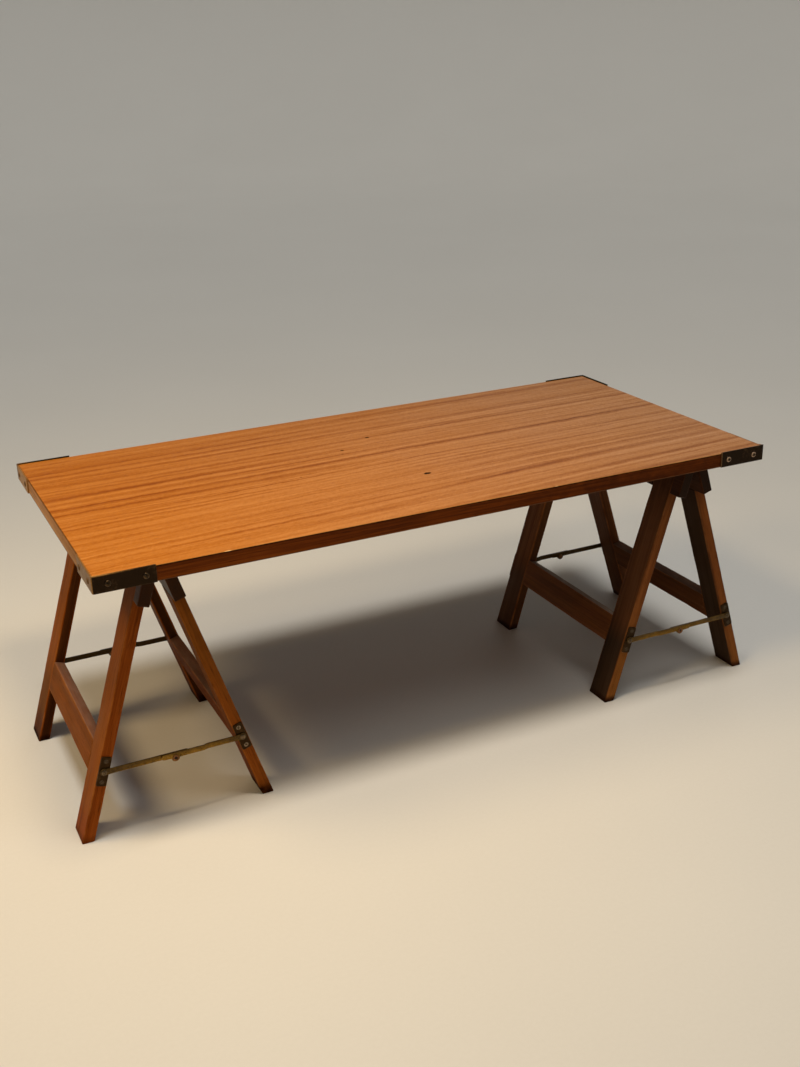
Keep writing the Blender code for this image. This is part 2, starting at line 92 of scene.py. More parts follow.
# ------------------------------------------------------------------ shader helper
class Shader:
    """A small writer of node materials around one Principled BSDF."""

    def __init__(self, name):
        self.mat = bpy.data.materials.new(name)
        self.mat.use_nodes = True
        self.nt = self.mat.node_tree
        self.nt.nodes.clear()
        out = self.nt.nodes.new("ShaderNodeOutputMaterial")
        self.bsdf = self.nt.nodes.new("ShaderNodeBsdfPrincipled")
        self.nt.links.new(self.bsdf.outputs[0], out.inputs[0])

    def put(self, socket, value):
        if isinstance(value, bpy.types.NodeSocket):
            self.nt.links.new(value, socket)
        else:
            socket.default_value = value

    def set(self, **values):
        for key, value in values.items():
            self.put(self.bsdf.inputs[key.replace("_", " ")], value)

    def node(self, kind, inputs=None, **props):
        n = self.nt.nodes.new(kind)
        for key, value in props.items():
            setattr(n, key, value)
        for key, value in (inputs or {}).items():
            self.put(n.inputs[key], value)
        return n

    def attr(self, name, out="Fac"):
        return self.node("ShaderNodeAttribute", attribute_name=name).outputs[out]

    def coords(self):
        return self.node("ShaderNodeTexCoord").outputs["Object"]

    def math(self, op, a, b=0.0, c=0.0, clamp=False):
        return self.node("ShaderNodeMath", {0: a, 1: b, 2: c}, operation=op,
                         use_clamp=clamp).outputs[0]

    def vec(self, op, a, b=(0.0, 0.0, 0.0)):
        return self.node("ShaderNodeVectorMath", {0: a, 1: b}, operation=op).outputs[0]

    def xyz(self, v):
        return self.node("ShaderNodeSeparateXYZ", {0: v}).outputs

    def combine(self, x=0.0, y=0.0, z=0.0):
        return self.node("ShaderNodeCombineXYZ", {0: x, 1: y, 2: z}).outputs[0]

    def noise(self, v, scale, detail=2.0, rough=0.5, distortion=0.0, out="Fac"):
        """Noise of v stretched by a three-number scale."""
        v = self.vec("MULTIPLY", v, scale)
        return self.node("ShaderNodeTexNoise", {"Vector": v, "Scale": 1.0, "Detail": detail,
                         "Roughness": rough, "Distortion": distortion}).outputs[out]

    def span(self, v, a, b, c=0.0, d=1.0, smooth=False):
        return self.node("ShaderNodeMapRange", {0: v, 1: a, 2: b, 3: c, 4: d}, clamp=True,
                         interpolation_type="SMOOTHSTEP" if smooth else "LINEAR").outputs[0]

    def ramp(self, fac, stops):
        n = self.node("ShaderNodeValToRGB", {0: fac})
        el = n.color_ramp.elements
        while len(el) < len(stops):
            el.new(0.5)
        for e, (pos, col) in zip(el, stops):
            e.position = pos
            e.color = (*col, 1.0)
        return n.outputs[0]

    def mix(self, fac, a, b, blend="MIX"):
        n = self.nt.nodes.new("ShaderNodeMix")
        n.data_type = "RGBA"
        n.blend_type = blend
        self.put(n.inputs[0], fac)
        for socket, value in ((n.inputs[6], a), (n.inputs[7], b)):
            self.put(socket, (*value, 1.0) if isinstance(value, tuple) else value)
        return n.outputs[2]

    def shade(self, colour, factor):
        """Multiply a colour by a grey factor."""
        return self.mix(1.0, colour, self.combine(factor, factor, factor), "MULTIPLY")

    def bump(self, height, strength, distance, normal=None):
        inputs = {"Height": height, "Strength": strength, "Distance": distance}
        if normal is not None:
            inputs["Normal"] = normal
        return self.node("ShaderNodeBump", inputs).outputs[0]


# ------------------------------------------------------------------ wood materials
def board_wood(name, dark, mid, pale, worn, streak=1.0, gloss=(0.30, 0.46), spec=0.08):
    """Stained hardwood, grain along the third axis of grain_co."""
    s = Shader(name)
    p = s.attr("grain_co", "Vector")
    drift = s.vec("SUBTRACT", s.noise(p, (9.0, 9.0, 1.7), 2.0, out="Color"), (0.5, 0.5, 0.5))
    pw = s.vec("ADD", p, s.vec("MULTIPLY", drift, (0.014, 0.014, 0.0)))
    bands = s.noise(pw, (62.0 * streak, 62.0 * streak, 1.3), 3.0, 0.55)
    fibre = s.noise(pw, (430.0, 430.0, 8.0), 3.0, 0.62)
    figure = s.math("ADD", s.math("MULTIPLY", bands, 0.62), s.math("MULTIPLY", fibre, 0.38))
    colour = s.ramp(s.span(figure, 0.30, 0.70), [(0.0, dark), (0.48, mid), (1.0, pale)])
    lines = s.span(s.noise(pw, (190.0, 190.0, 2.6), 2.0, 0.5), 0.56, 0.72)
    colour = s.mix(s.math("MULTIPLY", lines, 0.6), colour, dark)
    tone = s.span(s.noise(p, (5.0, 5.0, 4.0), 3.0, 0.55), 0.3, 0.7, 0.74, 1.18)
    colour = s.shade(colour, tone)
    # painted shade: this mask darkens and cools whole faces that get little light
    colour = s.mix(s.attr("grime_and_shade"), colour, s.mix(1.0, colour, (0.16, 0.30, 0.70), "MULTIPLY"))
    # painted light: this mask lifts faces towards a paler orange, as if lit
    painted_lift = s.math("MULTIPLY", s.attr("chip_and_painted_light"), s.span(s.noise(p, (30.0, 30.0, 9.0), 3.0, 0.6), 0.3, 0.7, 0.6, 1.2))
    colour = s.mix(painted_lift, colour, (0.300, 0.112, 0.016))
    pores = s.span(s.noise(pw, (1250.0, 1250.0, 34.0), 1.0, 0.5), 0.60, 0.72)
    deep = tuple(c * 0.30 for c in dark)
    colour = s.mix(s.math("MULTIPLY", pores, 0.6), colour, deep)
    # scuffs, rubbed arrises broken up along their length, darkened ends and seams; the tip mask also paints shade at
    # the tops of the legs
    scuff = s.span(s.noise(p, (48.0, 48.0, 19.0), 5.0, 0.7), 0.66, 0.80)
    colour = s.mix(s.math("MULTIPLY", scuff, 0.30), colour, worn)
    rub = s.noise(p, (90.0, 90.0, 20.0), 5.0, 0.7)
    rub = s.span(s.math("ADD", s.math("MULTIPLY", s.attr("edge_wear"), 0.52), rub), 0.92, 1.16)
    colour = s.mix(s.math("MULTIPLY", rub, 0.62), colour, worn)
    tip = s.math("MULTIPLY", s.attr("tip"),
                 s.span(s.noise(p, (90.0, 90.0, 60.0), 3.0), 0.30, 0.60, 0.62, 1.0))
    colour = s.mix(tip, colour, tuple(c * 0.18 for c in dark))
    # dust and painted light: the stretchers' top faces are paled, standing in for dust and for light on them
    dust_and_lit_top = s.math("MULTIPLY", s.attr("mark_and_painted_light"), s.span(s.noise(p, (60.0, 60.0, 22.0), 4.0, 0.6), 0.3, 0.7, 0.45, 1.1))
    colour = s.mix(dust_and_lit_top, colour, (0.42, 0.32, 0.24))
    s.set(Base_Color=colour)
    smear = s.noise(p, (26.0, 26.0, 9.0), 4.0, 0.6)
    rough = s.span(smear, 0.3, 0.7, *gloss)
    rough = s.math("ADD", rough, s.math("MULTIPLY", s.math("ADD", rub, s.math("ADD", tip, scuff)), 0.09))
    s.set(Roughness=rough, Specular_IOR_Level=spec)
    height = s.math("SUBTRACT", s.math("MULTIPLY", fibre, 0.5), pores)
    s.set(Normal=s.bump(height, 0.22, 0.0004))
    return s.mat


def end_grain(name, dark, pale, rubbed, spec=0.12):
    """Cut ends: growth arcs and open pores, soaked dark with stain."""
    s = Shader(name)
    p = s.attr("grain_co", "Vector")
    px = s.xyz(p)
    flat = s.combine(px[0], px[1], 0.0)
    wob = s.noise(flat, (60.0, 60.0, 1.0), 2.0)
    far = s.node("ShaderNodeVectorMath", {0: s.vec("MODULO", s.vec("ADD", flat, (0.03, 0.05, 0.0)),
                 (0.31, 0.37, 1.0))}, operation="LENGTH").outputs["Value"]
    arcs = s.math("SINE", s.math("ADD", s.math("MULTIPLY", far, 2600.0), s.math("MULTIPLY", wob, 9.0)))
    arcs = s.span(arcs, -1.0, 1.0)
    pores = s.span(s.noise(flat, (1500.0, 1500.0, 1.0), 1.0), 0.58, 0.70)
    blot = s.noise(flat, (150.0, 150.0, 1.0), 3.0)
    f = s.math("ADD", s.math("MULTIPLY", arcs, 0.45), s.math("MULTIPLY", blot, 0.55))
    colour = s.ramp(f, [(0.15, dark), (0.85, pale)])
    colour = s.mix(s.math("MULTIPLY", pores, 0.7), colour, tuple(c * 0.4 for c in dark))
    rub = s.span(s.math("ADD", s.math("MULTIPLY", s.attr("edge_wear"), 0.55), blot), 0.80, 1.05)
    colour = s.mix(s.math("MULTIPLY", rub, 0.6), colour, rubbed)
    s.set(Base_Color=colour, Roughness=s.span(blot, 0.3, 0.7, 0.45, 0.68), Specular_IOR_Level=spec)
    s.set(Normal=s.bump(s.math("SUBTRACT", s.math("MULTIPLY", arcs, 0.3), pores), 0.3, 0.0003))
    return s.mat


def stripe_ramp(s, across, stripes):
    """Darkness of a row of stripes, (place across, strength), as a smooth ramp."""
    n = s.node("ShaderNodeValToRGB", {0: s.span(across, -0.30, 0.30)})
    n.color_ramp.interpolation = "EASE"
    stripes = sorted(stripes)
    stops = []
    for k, (u, strength) in enumerate(stripes):
        stops.append((u, strength))
        if k + 1 < len(stripes):
            stops.append(((u + stripes[k + 1][0]) / 2, 0.0))
    el = n.color_ramp.elements
    while len(el) < len(stops):
        el.new(0.5)
    for e, (u, v) in zip(el, stops):
        e.position = (u + 0.30) / 0.60
        e.color = (v, v, v, 1.0)
    return n.outputs[0]


def ribbon_veneer(name):
    """Ribbon-stripe veneer of the top: long bands of changing strength, fine fibre, pores."""
    s = Shader(name)
    p = s.attr("grain_co", "Vector")          # across (from the front), depth, along
    px = s.xyz(p)
    u, w = px[0], px[2]
    # the grain runs a touch askew, more so towards the front
    skew = s.node("ShaderNodeMapRange", {0: u, 1: -0.275, 2: 0.0, 3: 0.068, 4: 0.018}, clamp=True).outputs[0]
    slow = s.math("SUBTRACT", s.noise(p, (3.0, 1.0, 1.5), 2.0), 0.5)
    quick = s.math("SUBTRACT", s.noise(p, (16.0, 1.0, 4.5), 2.0), 0.5)
    us = s.math("SUBTRACT", u, s.math("MULTIPLY", w, skew))
    us = s.math("ADD", us, s.math("MULTIPLY", slow, 0.016))
    us = s.math("ADD", us, s.math("MULTIPLY", quick, 0.0045))
    fray = s.math("SUBTRACT", s.noise(p, (70.0, 1.0, 34.0), 2.0), 0.5)
    us = s.math("ADD", us, s.math("MULTIPLY", fray, 0.008))
    q = s.combine(us, px[1], w)
    # two sets of ribbons, one strong on the left, one on the right, run into each other
    left = s.math("ADD", stripe_ramp(s, us, [
        (0.262, 0.40), (0.235, 0.62), (0.207, 0.68), (0.186, 0.72), (0.161, 0.86), (0.135, 0.62), (0.112, 0.50),
        (0.090, 0.45), (0.068, 0.70), (0.045, 0.74), (0.019, 0.95), (-0.006, 0.50), (-0.031, 0.35),
        (-0.048, 0.0)]), stripe_ramp(s, us, [
            (-0.050, 0.0), (-0.074, 0.30), (-0.118, 0.42), (-0.145, 0.55), (-0.160, 0.30), (-0.175, 0.52),
            (-0.194, 0.55), (-0.209, 0.48), (-0.224, 0.55), (-0.240, 0.48), (-0.256, 0.55), (-0.272, 0.40)]))
    right = s.math("ADD", stripe_ramp(s, us, [
        (0.262, 0.50), (0.236, 0.62), (0.208, 0.72), (0.185, 0.66), (0.160, 0.80), (0.136, 0.60), (0.112, 0.74),
        (0.089, 0.66), (0.067, 0.68), (0.045, 0.62), (0.020, 0.86), (-0.007, 0.60), (-0.033, 0.68),
        (-0.050, 0.0)]), stripe_ramp(s, us, [
            (-0.050, 0.0), (-0.077, 0.72), (-0.104, 0.58), (-0.132, 0.68), (-0.160, 0.72), (-0.188, 0.92),
            (-0.218, 0.84), (-0.247, 1.0), (-0.272, 0.66)]))
    turn = s.math("ADD", w, s.math("MULTIPLY", s.math("SUBTRACT", s.noise(q, (24.0, 1.0, 0.8), 2.0), 0.5), 1.1))
    ribbon = s.mix(s.span(turn, -0.16, 0.20, smooth=True), left, right)
    live = s.span(s.noise(q, (34.0, 1.0, 1.9), 3.0, 0.55), 0.30, 0.62, 0.60, 1.0)
    ribbon = s.math("MULTIPLY", s.math("POWER", ribbon, 1.9), live)
    ribbon = s.math("MULTIPLY", ribbon, s.span(w, -0.05, 0.42, 1.0, 0.84))
    # thin lines, fibre and broad drift of tone
    lines = s.span(s.noise(q, (150.0, 1.0, 1.4), 3.0, 0.6), 0.46, 0.72)
    lines = s.math("MULTIPLY", lines, s.span(s.noise(q, (14.0, 1.0, 1.3), 2.0), 0.35, 0.65, 0.35, 1.0))
    bands = s.span(s.noise(q, (76.0, 1.0, 1.0), 2.0, 0.5), 0.42, 0.68)
    fibre = s.noise(q, (560.0, 1.0, 10.0), 3.0, 0.66)
    streak = s.noise(q, (260.0, 1.0, 3.0), 2.0, 0.6)
    fleck = s.noise(q, (210.0, 1.0, 21.0), 2.0, 0.6)
    speck = s.noise(q, (180.0, 1.0, 130.0), 2.0, 0.6)
    broad = s.noise(q, (10.0, 1.0, 0.7), 2.0)
    f = s.math("SUBTRACT", s.math("MULTIPLY_ADD", broad, 0.20, 0.79), s.math("MULTIPLY", ribbon, 0.53))
    # painted shade: the back half of the sheet, from the middle to the right, is darkened
    f = s.math("SUBTRACT", f, s.math("MULTIPLY", s.span(u, 0.04, 0.24, 0.0, 0.065), s.span(w, -0.25, 0.05)))
    f = s.math("SUBTRACT", f, s.math("MULTIPLY", lines, s.span(u, -0.06, 0.04, 0.38, 0.29)))
    f = s.math("SUBTRACT", f, s.math("MULTIPLY", bands, s.span(w, -0.15, 0.20, 0.28, 0.24)))
    f = s.math("ADD", f, s.math("MULTIPLY", s.math("SUBTRACT", fibre, 0.5), 0.36))
    f = s.math("ADD", f, s.math("MULTIPLY", s.math("SUBTRACT", streak, 0.5), 0.44))
    f = s.math("ADD", f, s.math("MULTIPLY", s.math("SUBTRACT", fleck, 0.5), 0.42))
    f = s.math("ADD", f, s.math("MULTIPLY", s.math("SUBTRACT", speck, 0.5), 0.32))
    # feathered glints of the interlocked grain, slanting across the ribbons
    cx = s.combine(s.math("ADD", s.math("MULTIPLY", us, 0.80), s.math("MULTIPLY", w, 0.60)),
                   s.math("SUBTRACT", s.math("MULTIPLY", w, 0.80), s.math("MULTIPLY", us, 0.60)), 0.0)
    glint = s.math("SUBTRACT", s.noise(cx, (70.0, 380.0, 1.0), 2.0, 0.5), 0.5)
    f = s.math("ADD", f, s.math("MULTIPLY", glint, 0.26))
    # darker is redder; towards the right end the colour goes over to a paler, greyer ramp: painted sheen of reflected
    # light
    rich = s.ramp(f, [(0.00, (0.156, 0.0262, 0.0003)), (0.34, (0.267, 0.0645, 0.0020)),
                      (0.64, (0.397, 0.1270, 0.0132)), (1.00, (0.507, 0.1920, 0.0370))])
    pale = s.ramp(f, [(0.00, (0.147, 0.0343, 0.0026)), (0.34, (0.253, 0.0830, 0.0140)),
                      (0.64, (0.379, 0.1600, 0.0490)), (1.00, (0.485, 0.2380, 0.1050))])
    colour = s.mix(s.span(w, -0.48, 0.46), rich, pale)
    pores = s.span(s.noise(q, (1500.0, 1.0, 60.0), 1.0, 0.5), 0.60, 0.72)
    colour = s.mix(s.math("MULTIPLY", pores, 0.42), colour, (0.10, 0.025, 0.004))
    # handling: rubbed arris, dark bruises, pale chips; the bruise mask also carries painted shade along the left end
    # and the veneer's edge faces, and darkened strips by the brackets
    rub = s.noise(p, (80.0, 80.0, 22.0), 4.0, 0.65)
    rub = s.span(s.math("ADD", s.math("MULTIPLY", s.attr("edge_wear"), 0.60), rub), 0.86, 1.10)
    colour = s.mix(s.math("MULTIPLY", rub, 0.45), colour, (0.56, 0.285, 0.090))
    colour = s.mix(s.attr("mark_and_painted_light"), colour, (0.022, 0.008, 0.003))
    colour = s.mix(s.attr("chip_and_painted_light"), colour, (0.66, 0.40, 0.18))
    s.set(Base_Color=colour)
    smear = s.noise(p, (7.0, 1.0, 5.0), 5.0, 0.6)
    rough = s.span(smear, 0.32, 0.68, 0.29, 0.42)
    rough = s.math("ADD", rough, s.math("MULTIPLY", s.math("MAXIMUM", s.attr("mark_and_painted_light"), s.attr("chip_and_painted_light")), 0.3))
    s.set(Roughness=rough, Specular_IOR_Level=0.07)
    height = s.math("SUBTRACT", s.math("MULTIPLY", fibre, 0.45), pores)
    s.set(Normal=s.bump(height, 0.16, 0.0003))
    return s.mat


def panel_wood(name, dark, pale, across, along, rough):
    """Plain wood on a carried-over panel, grain along X of the object."""
    s = Shader(name)
    p = s.coords()
    px = s.xyz(p)
    q = s.combine(px[0], s.math("MULTIPLY_ADD", s.noise(p, (1.2, 4.0, 1.0), 2.0), 0.03, px[1]), px[2])
    a = s.noise(q, (along, across, across), 4.0, 0.6)
    b = s.noise(q, (9.0, 700.0, 700.0), 2.0, 0.6)
    f = s.math("ADD", s.math("MULTIPLY", a, 0.7), s.math("MULTIPLY", b, 0.3))
    colour = s.ramp(s.span(f, 0.32, 0.68), [(0.0, dark), (1.0, pale)])
    blot = s.noise(p, (3.0, 5.0, 5.0), 4.0, 0.6)
    colour = s.shade(colour, s.span(blot, 0.3, 0.7, 0.75, 1.12))
    s.set(Base_Color=colour, Roughness=s.span(blot, 0.3, 0.7, *rough), Specular_IOR_Level=0.15)
    s.set(Normal=s.bump(b, 0.2, 0.0004))
    return s.mat


# ------------------------------------------------------------------ metal materials
def aged_metal(name, bright, dull, grime_and_shade, polish=(0.30, 0.52), tarnish=(0.40, 0.62), wear=0.6,
               scale=1.0, bare=(0.40, 0.225, 0.100)):
    """Old metal: clean tone on rubbed spots and arrises, tarnish and grime elsewhere, and painted sheen, highlights and
    shade from the vertex masks.
    """
    s = Shader(name)
    p = s.coords()
    big = s.noise(p, (75.0 * scale,) * 3, 4.0, 0.6)
    small = s.noise(p, (480.0 * scale,) * 3, 3.0, 0.6)
    specks = s.span(s.noise(p, (1500.0 * scale,) * 3, 2.0, 0.5), 0.60, 0.74)
    t = s.math("ADD", s.math("MULTIPLY", big, 0.65), s.math("MULTIPLY", small, 0.35))
    t = s.span(t, *tarnish)
    colour = s.mix(t, dull, bright)
    rub = s.span(s.math("ADD", s.math("MULTIPLY", s.attr("edge_wear"), wear), small), 0.72, 1.02)
    colour = s.mix(s.math("MULTIPLY", rub, 0.8), colour, bright)
    colour = s.mix(s.math("MULTIPLY", specks, 0.7), colour, grime_and_shade)
    # rubbed bare metal, and painted sheen and highlights: the chip mask mixes in the bare colour
    colour = s.mix(s.math("MULTIPLY", s.attr("chip_and_painted_light"), s.span(small, 0.25, 0.60, 0.65, 1.0)), colour, bare)
    colour = s.mix(s.attr("grime_and_shade"), colour, grime_and_shade)
    # metallic falls away where the chip mask paints bare colour or painted light, and where the grime mask darkens
    shiny = s.math("MULTIPLY", s.span(s.attr("chip_and_painted_light"), 0.0, 1.0, 1.0, 0.08), s.span(s.attr("grime_and_shade"), 0.3, 0.9, 1.0, 0.0))
    s.set(Base_Color=colour, Metallic=shiny, Specular_IOR_Level=0.15)
    rough = s.math("SUBTRACT", s.span(big, 0.3, 0.7, polish[1], polish[0]), s.math("MULTIPLY", rub, 0.08))
    rough = s.math("ADD", rough, s.math("MULTIPLY", specks, 0.18))
    s.set(Roughness=rough)
    scratch = s.noise(p, (220.0, 220.0, 2600.0), 2.0, 0.5)
    height = s.math("ADD", s.math("MULTIPLY", small, 0.6), s.math("MULTIPLY", scratch, 0.25))
    s.set(Normal=s.bump(height, 0.25, 0.0003))
    return s.mat


MAT = {
    "veneer": ribbon_veneer("ribbon_veneer"),
    "lipping": board_wood("lipping_wood", (0.068, 0.0130, 0.0012), (0.194, 0.0400, 0.0030),
                          (0.325, 0.0800, 0.0075), (0.42, 0.135, 0.022), 1.3, (0.28, 0.42), 0.04),
    # a paler, duller copy of the lipping wood for the left end: painted sheen of light glancing off that end
    "lipping_painted_sheen": board_wood("lipping_painted_sheen_wood", (0.240, 0.1060, 0.0370), (0.500, 0.2400, 0.0880),
                                (0.660, 0.3420, 0.1400), (0.70, 0.380, 0.165), 1.3, (0.40, 0.55), 0.02),
    "lipping_end": end_grain("lipping_end_grain", (0.030, 0.010, 0.003), (0.08, 0.028, 0.009),
                             (0.18, 0.07, 0.025)),
    "leg": board_wood("leg_wood", (0.082, 0.0155, 0.0018), (0.225, 0.0470, 0.0046),
                      (0.350, 0.0860, 0.0115), (0.44, 0.150, 0.030), 1.0, (0.42, 0.60), 0.016),
    # a browner, cooler copy of the leg wood for the right trestle: it stands in for cooler light on that side
    "leg_cool_lit": board_wood("leg_cool_lit_wood", (0.125, 0.0350, 0.0080), (0.224, 0.0670, 0.0145),
                            (0.315, 0.1060, 0.0280), (0.34, 0.125, 0.036), 1.0, (0.42, 0.60), 0.030),
    # the rails take a darker copy of the leg wood: painted shade under the top
    "rail": board_wood("rail_shaded_wood", (0.050, 0.0110, 0.0018), (0.130, 0.0300, 0.0042),
                       (0.215, 0.0580, 0.0095), (0.27, 0.090, 0.022), 1.0, (0.34, 0.50), 0.05),
    # darker end grain for the right trestle's rails: painted shade under the top
    "rail_end_shaded": end_grain("rail_end_shaded_grain", (0.011, 0.0044, 0.0013), (0.034, 0.0130, 0.0040),
                          (0.075, 0.028, 0.010), 0.07),
    "end": end_grain("board_end_grain", (0.018, 0.0060, 0.0012), (0.058, 0.0190, 0.0040),
                     (0.20, 0.062, 0.015), 0.07),
    "core": panel_wood("panel_core_wood", (0.30, 0.19, 0.095), (0.50, 0.35, 0.20), 60.0, 1.5, (0.6, 0.8)),
    "backing": panel_wood("backing_wood", (0.095, 0.034, 0.012), (0.215, 0.085, 0.030), 45.0, 1.2, (0.45, 0.62)),
    "bracket": aged_metal("bracket_bronze", (0.100, 0.060, 0.030), (0.026, 0.0150, 0.0078),
                          (0.010, 0.006, 0.0035), (0.26, 0.42), (0.56, 0.84), 0.30, 0.7),
    # the left brackets: their bare colour is a painted tan sheen on the end arms
    "bracket_sheen_and_wear": aged_metal("bracket_sheen_and_wear_bronze", (0.100, 0.060, 0.030), (0.026, 0.0150, 0.0078),
                               (0.010, 0.006, 0.0035), (0.34, 0.50), (0.56, 0.84), 0.30, 0.7,
                               (0.410, 0.205, 0.054)),
    # screws on the left ends: the bare colour is a painted tan sheen
    "bracket_sheen_and_wear_screw": aged_metal("bracket_sheen_and_wear_screw_bronze", (0.14, 0.085, 0.038), (0.030, 0.018, 0.008),
                                     (0.010, 0.007, 0.004), (0.30, 0.46), (0.50, 0.80), 0.46, 1.4,
                                     (0.300, 0.154, 0.054)),
    # the bare colour here is the painted rim highlight of the screws
    "bracket_screw": aged_metal("bracket_screw_bronze", (0.14, 0.085, 0.038), (0.030, 0.018, 0.008),
                                (0.010, 0.007, 0.004), (0.24, 0.42), (0.50, 0.80), 0.46, 1.4,
                                (0.66, 0.44, 0.30)),
    "stay": aged_metal("stay_brass", (0.310, 0.170, 0.031), (0.098, 0.053, 0.0105),
                       (0.018, 0.011, 0.005), (0.34, 0.54), (0.38, 0.72), 0.34),
    "eyelet": aged_metal("eyelet_copper", (0.36, 0.165, 0.070), (0.100, 0.044, 0.018),
                         (0.010, 0.006, 0.003), (0.26, 0.44), (0.42, 0.74), 0.36, 1.3),
    "plate": aged_metal("plate_brass", (0.115, 0.062, 0.022), (0.032, 0.0170, 0.0068),
                        (0.012, 0.0070, 0.004), (0.32, 0.50), (0.54, 0.82), 0.36),
    # the bare colour here is the painted rim highlight of the plate screws
    "plate_screw": aged_metal("plate_screw_steel", (0.26, 0.185, 0.115), (0.052, 0.036, 0.021),
                              (0.013, 0.009, 0.006), (0.24, 0.42), (0.48, 0.76), 0.42, 1.6,
                              (0.60, 0.50, 0.38)),
    "hinge": aged_metal("hinge_steel", (0.30, 0.25, 0.20), (0.110, 0.088, 0.068),
                        (0.045, 0.026, 0.015), (0.34, 0.55), (0.38, 0.66), 0.6),
}


# ------------------------------------------------------------------ mesh helpers
LAYERS = ("edge_wear", "tip", "mark_and_painted_light", "chip_and_painted_light", "grime_and_shade")


def new_bm():
    bm = bmesh.new()
    for name in LAYERS:
        bm.verts.layers.float.new(name)
    bm.verts.layers.float_vector.new("grain_co")
    return bm


def piece(name, bm, mats, body, node=None, matrix=None, sharp=42.0):
    """Turn a bmesh into a piece that rides on a body, and stands for a node if one is named."""
    bmesh.ops.recalc_face_normals(bm, faces=bm.faces[:])
    mesh = bpy.data.meshes.new(name)
    bm.to_mesh(mesh)
    bm.free()
    for m in mats:
        mesh.materials.append(MAT[m])
    if matrix is not None:
        mesh.transform(matrix)
    mesh.shade_smooth()
    mesh.set_sharp_from_angle(angle=math.radians(sharp))
    ob = bpy.data.objects.new(name, mesh)
    SCENE.collection.objects.link(ob)
    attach(ob, body)
    if node:
        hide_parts(node)
    return ob


def section(corners, radius, seg=3, pad=0.0025, inset=0.0):
    """Round the corners of a convex, counter-clockwise outline: [(a, b, edge), ...]."""
    out = []
    n = len(corners)
    r = max(radius - inset, 0.00012)
    off = inset + r
    for i in range(n):
        p0, p1, p2 = (Vector(corners[(i + k) % n]) for k in (-1, 0, 1))
        d1, d2 = (p1 - p0).normalized(), (p2 - p1).normalized()
        n1, n2 = Vector((-d1.y, d1.x)), Vector((-d2.y, d2.x))
        diff = (n2 - n1) * off
        along = (diff.x * d2.y - diff.y * d2.x) / (d1.x * d2.y - d1.y * d2.x)
        c = p1 + n1 * off + d1 * along
        a1, a2 = math.atan2(-n1.y, -n1.x), math.atan2(-n2.y, -n2.x)
        if a2 < a1:
            a2 += 2.0 * math.pi
        if pad:
            q = c - n1 * r - d1 * min(pad, 0.45 * ((p1 - p0).length - 2.0 * off))
            out.append((q.x, q.y, 0.0))
        for k in range(seg + 1):
            a = a1 + (a2 - a1) * k / seg
            out.append((c.x + r * math.cos(a), c.y + r * math.sin(a), 1.0))
        if pad:
            q = c - n2 * r + d2 * min(pad, 0.45 * ((p2 - p1).length - 2.0 * off))
            out.append((q.x, q.y, 0.0))
    return out


def stations(length, spacing, r0, r1, steps=2, pad=0.003):
    """Places along a board, [(t, inset, edge)], with rounded arrises at both ends."""
    out = []
    for k in range(steps + 1):
        a = math.pi / 2 * k / steps
        out.append((r0 * (1 - math.cos(a)), r0 * (1 - math.sin(a)), 1.0))
    lo, hi = r0 + pad, length - r1 - pad
    n = max(1, round((hi - lo) / spacing))
    out += [(lo + (hi - lo) * i / n, 0.0, 0.0) for i in range(n + 1)]
    for k in range(steps, -1, -1):
        a = math.pi / 2 * k / steps
        out.append((length - r1 * (1 - math.cos(a)), r1 * (1 - math.sin(a)), 1.0))
    return out


def loft(bm, corners, radius, places, place, seed=0.0, seg=3, pad=0.0025, ding=0.0, tip=None,
         cap=1, offset=(0.0, 0.0, 0.0), inner=0.0022, grain=None, painted_darkening=None, bare=None, wear=1.0,
         dust_and_lit_top=None):
    """Sweep a rounded section through its places; dings eat a little into the arrises."""
    lay = {k: bm.verts.layers.float[k] for k in LAYERS}
    gl = bm.verts.layers.float_vector["grain_co"]
    ca = sum(c[0] for c in corners) / len(corners)
    cb = sum(c[1] for c in corners) / len(corners)

    def ring(t, inset, end_edge):
        verts = []
        for k, (a, b, edge) in enumerate(section(corners, radius, seg, pad, inset)):
            e = max(edge, end_edge)
            aa, bb = a, b
            if ding and e > 0.0:
                key = Vector((t * 21.0 + seed * 7.3, a * 130.0 + seed, b * 130.0 - seed))
                cut = max(0.0, noise.noise(key) - 0.16) * 1.5
                fine = 0.5 + 0.5 * noise.noise(key * 4.1)
                d = Vector((ca - a, cb - b))
                d = d.normalized() * min(ding * e * (cut + 0.22 * fine), d.length * 0.5)
                aa, bb = a + d.x, b + d.y
            v = bm.verts.new(place(aa, bb, t))
            v[lay["edge_wear"]] = e * wear
            if tip:
                v[lay["tip"]] = tip(a, b, t)
            if painted_darkening:
                v[lay["grime_and_shade"]] = painted_darkening(a, b, edge, t)
            if bare:
                v[lay["chip_and_painted_light"]] = bare(a, b, t)
            if dust_and_lit_top:
                v[lay["mark_and_painted_light"]] = dust_and_lit_top(a, b, t)
            g = (a, b, t) if grain is None else grain(a, b, t)
            v[gl] = Vector(g) + Vector(offset)
            verts.append(v)
        return verts

    rings = [ring(*p) for p in places]
    n = len(rings[0])
    for r0, r1 in zip(rings, rings[1:]):
        for i in range(n):
            j = (i + 1) % n
            bm.faces.new((r0[i], r0[j], r1[j], r1[i]))
    for (t, inset, _), edge_ring, flip in ((places[0], rings[0], True), (places[-1], rings[-1], False)):
        if inner:
            core = ring(t, inset + inner, 0.0)
            for v in core:
                v[lay["edge_wear"]] = 0.0
            for i in range(n):
                j = (i + 1) % n
                bm.faces.new((edge_ring[i], edge_ring[j], core[j], core[i])).material_index = cap
        else:
            core = edge_ring
        bm.faces.new(core[::-1] if flip else core).material_index = cap
    return rings


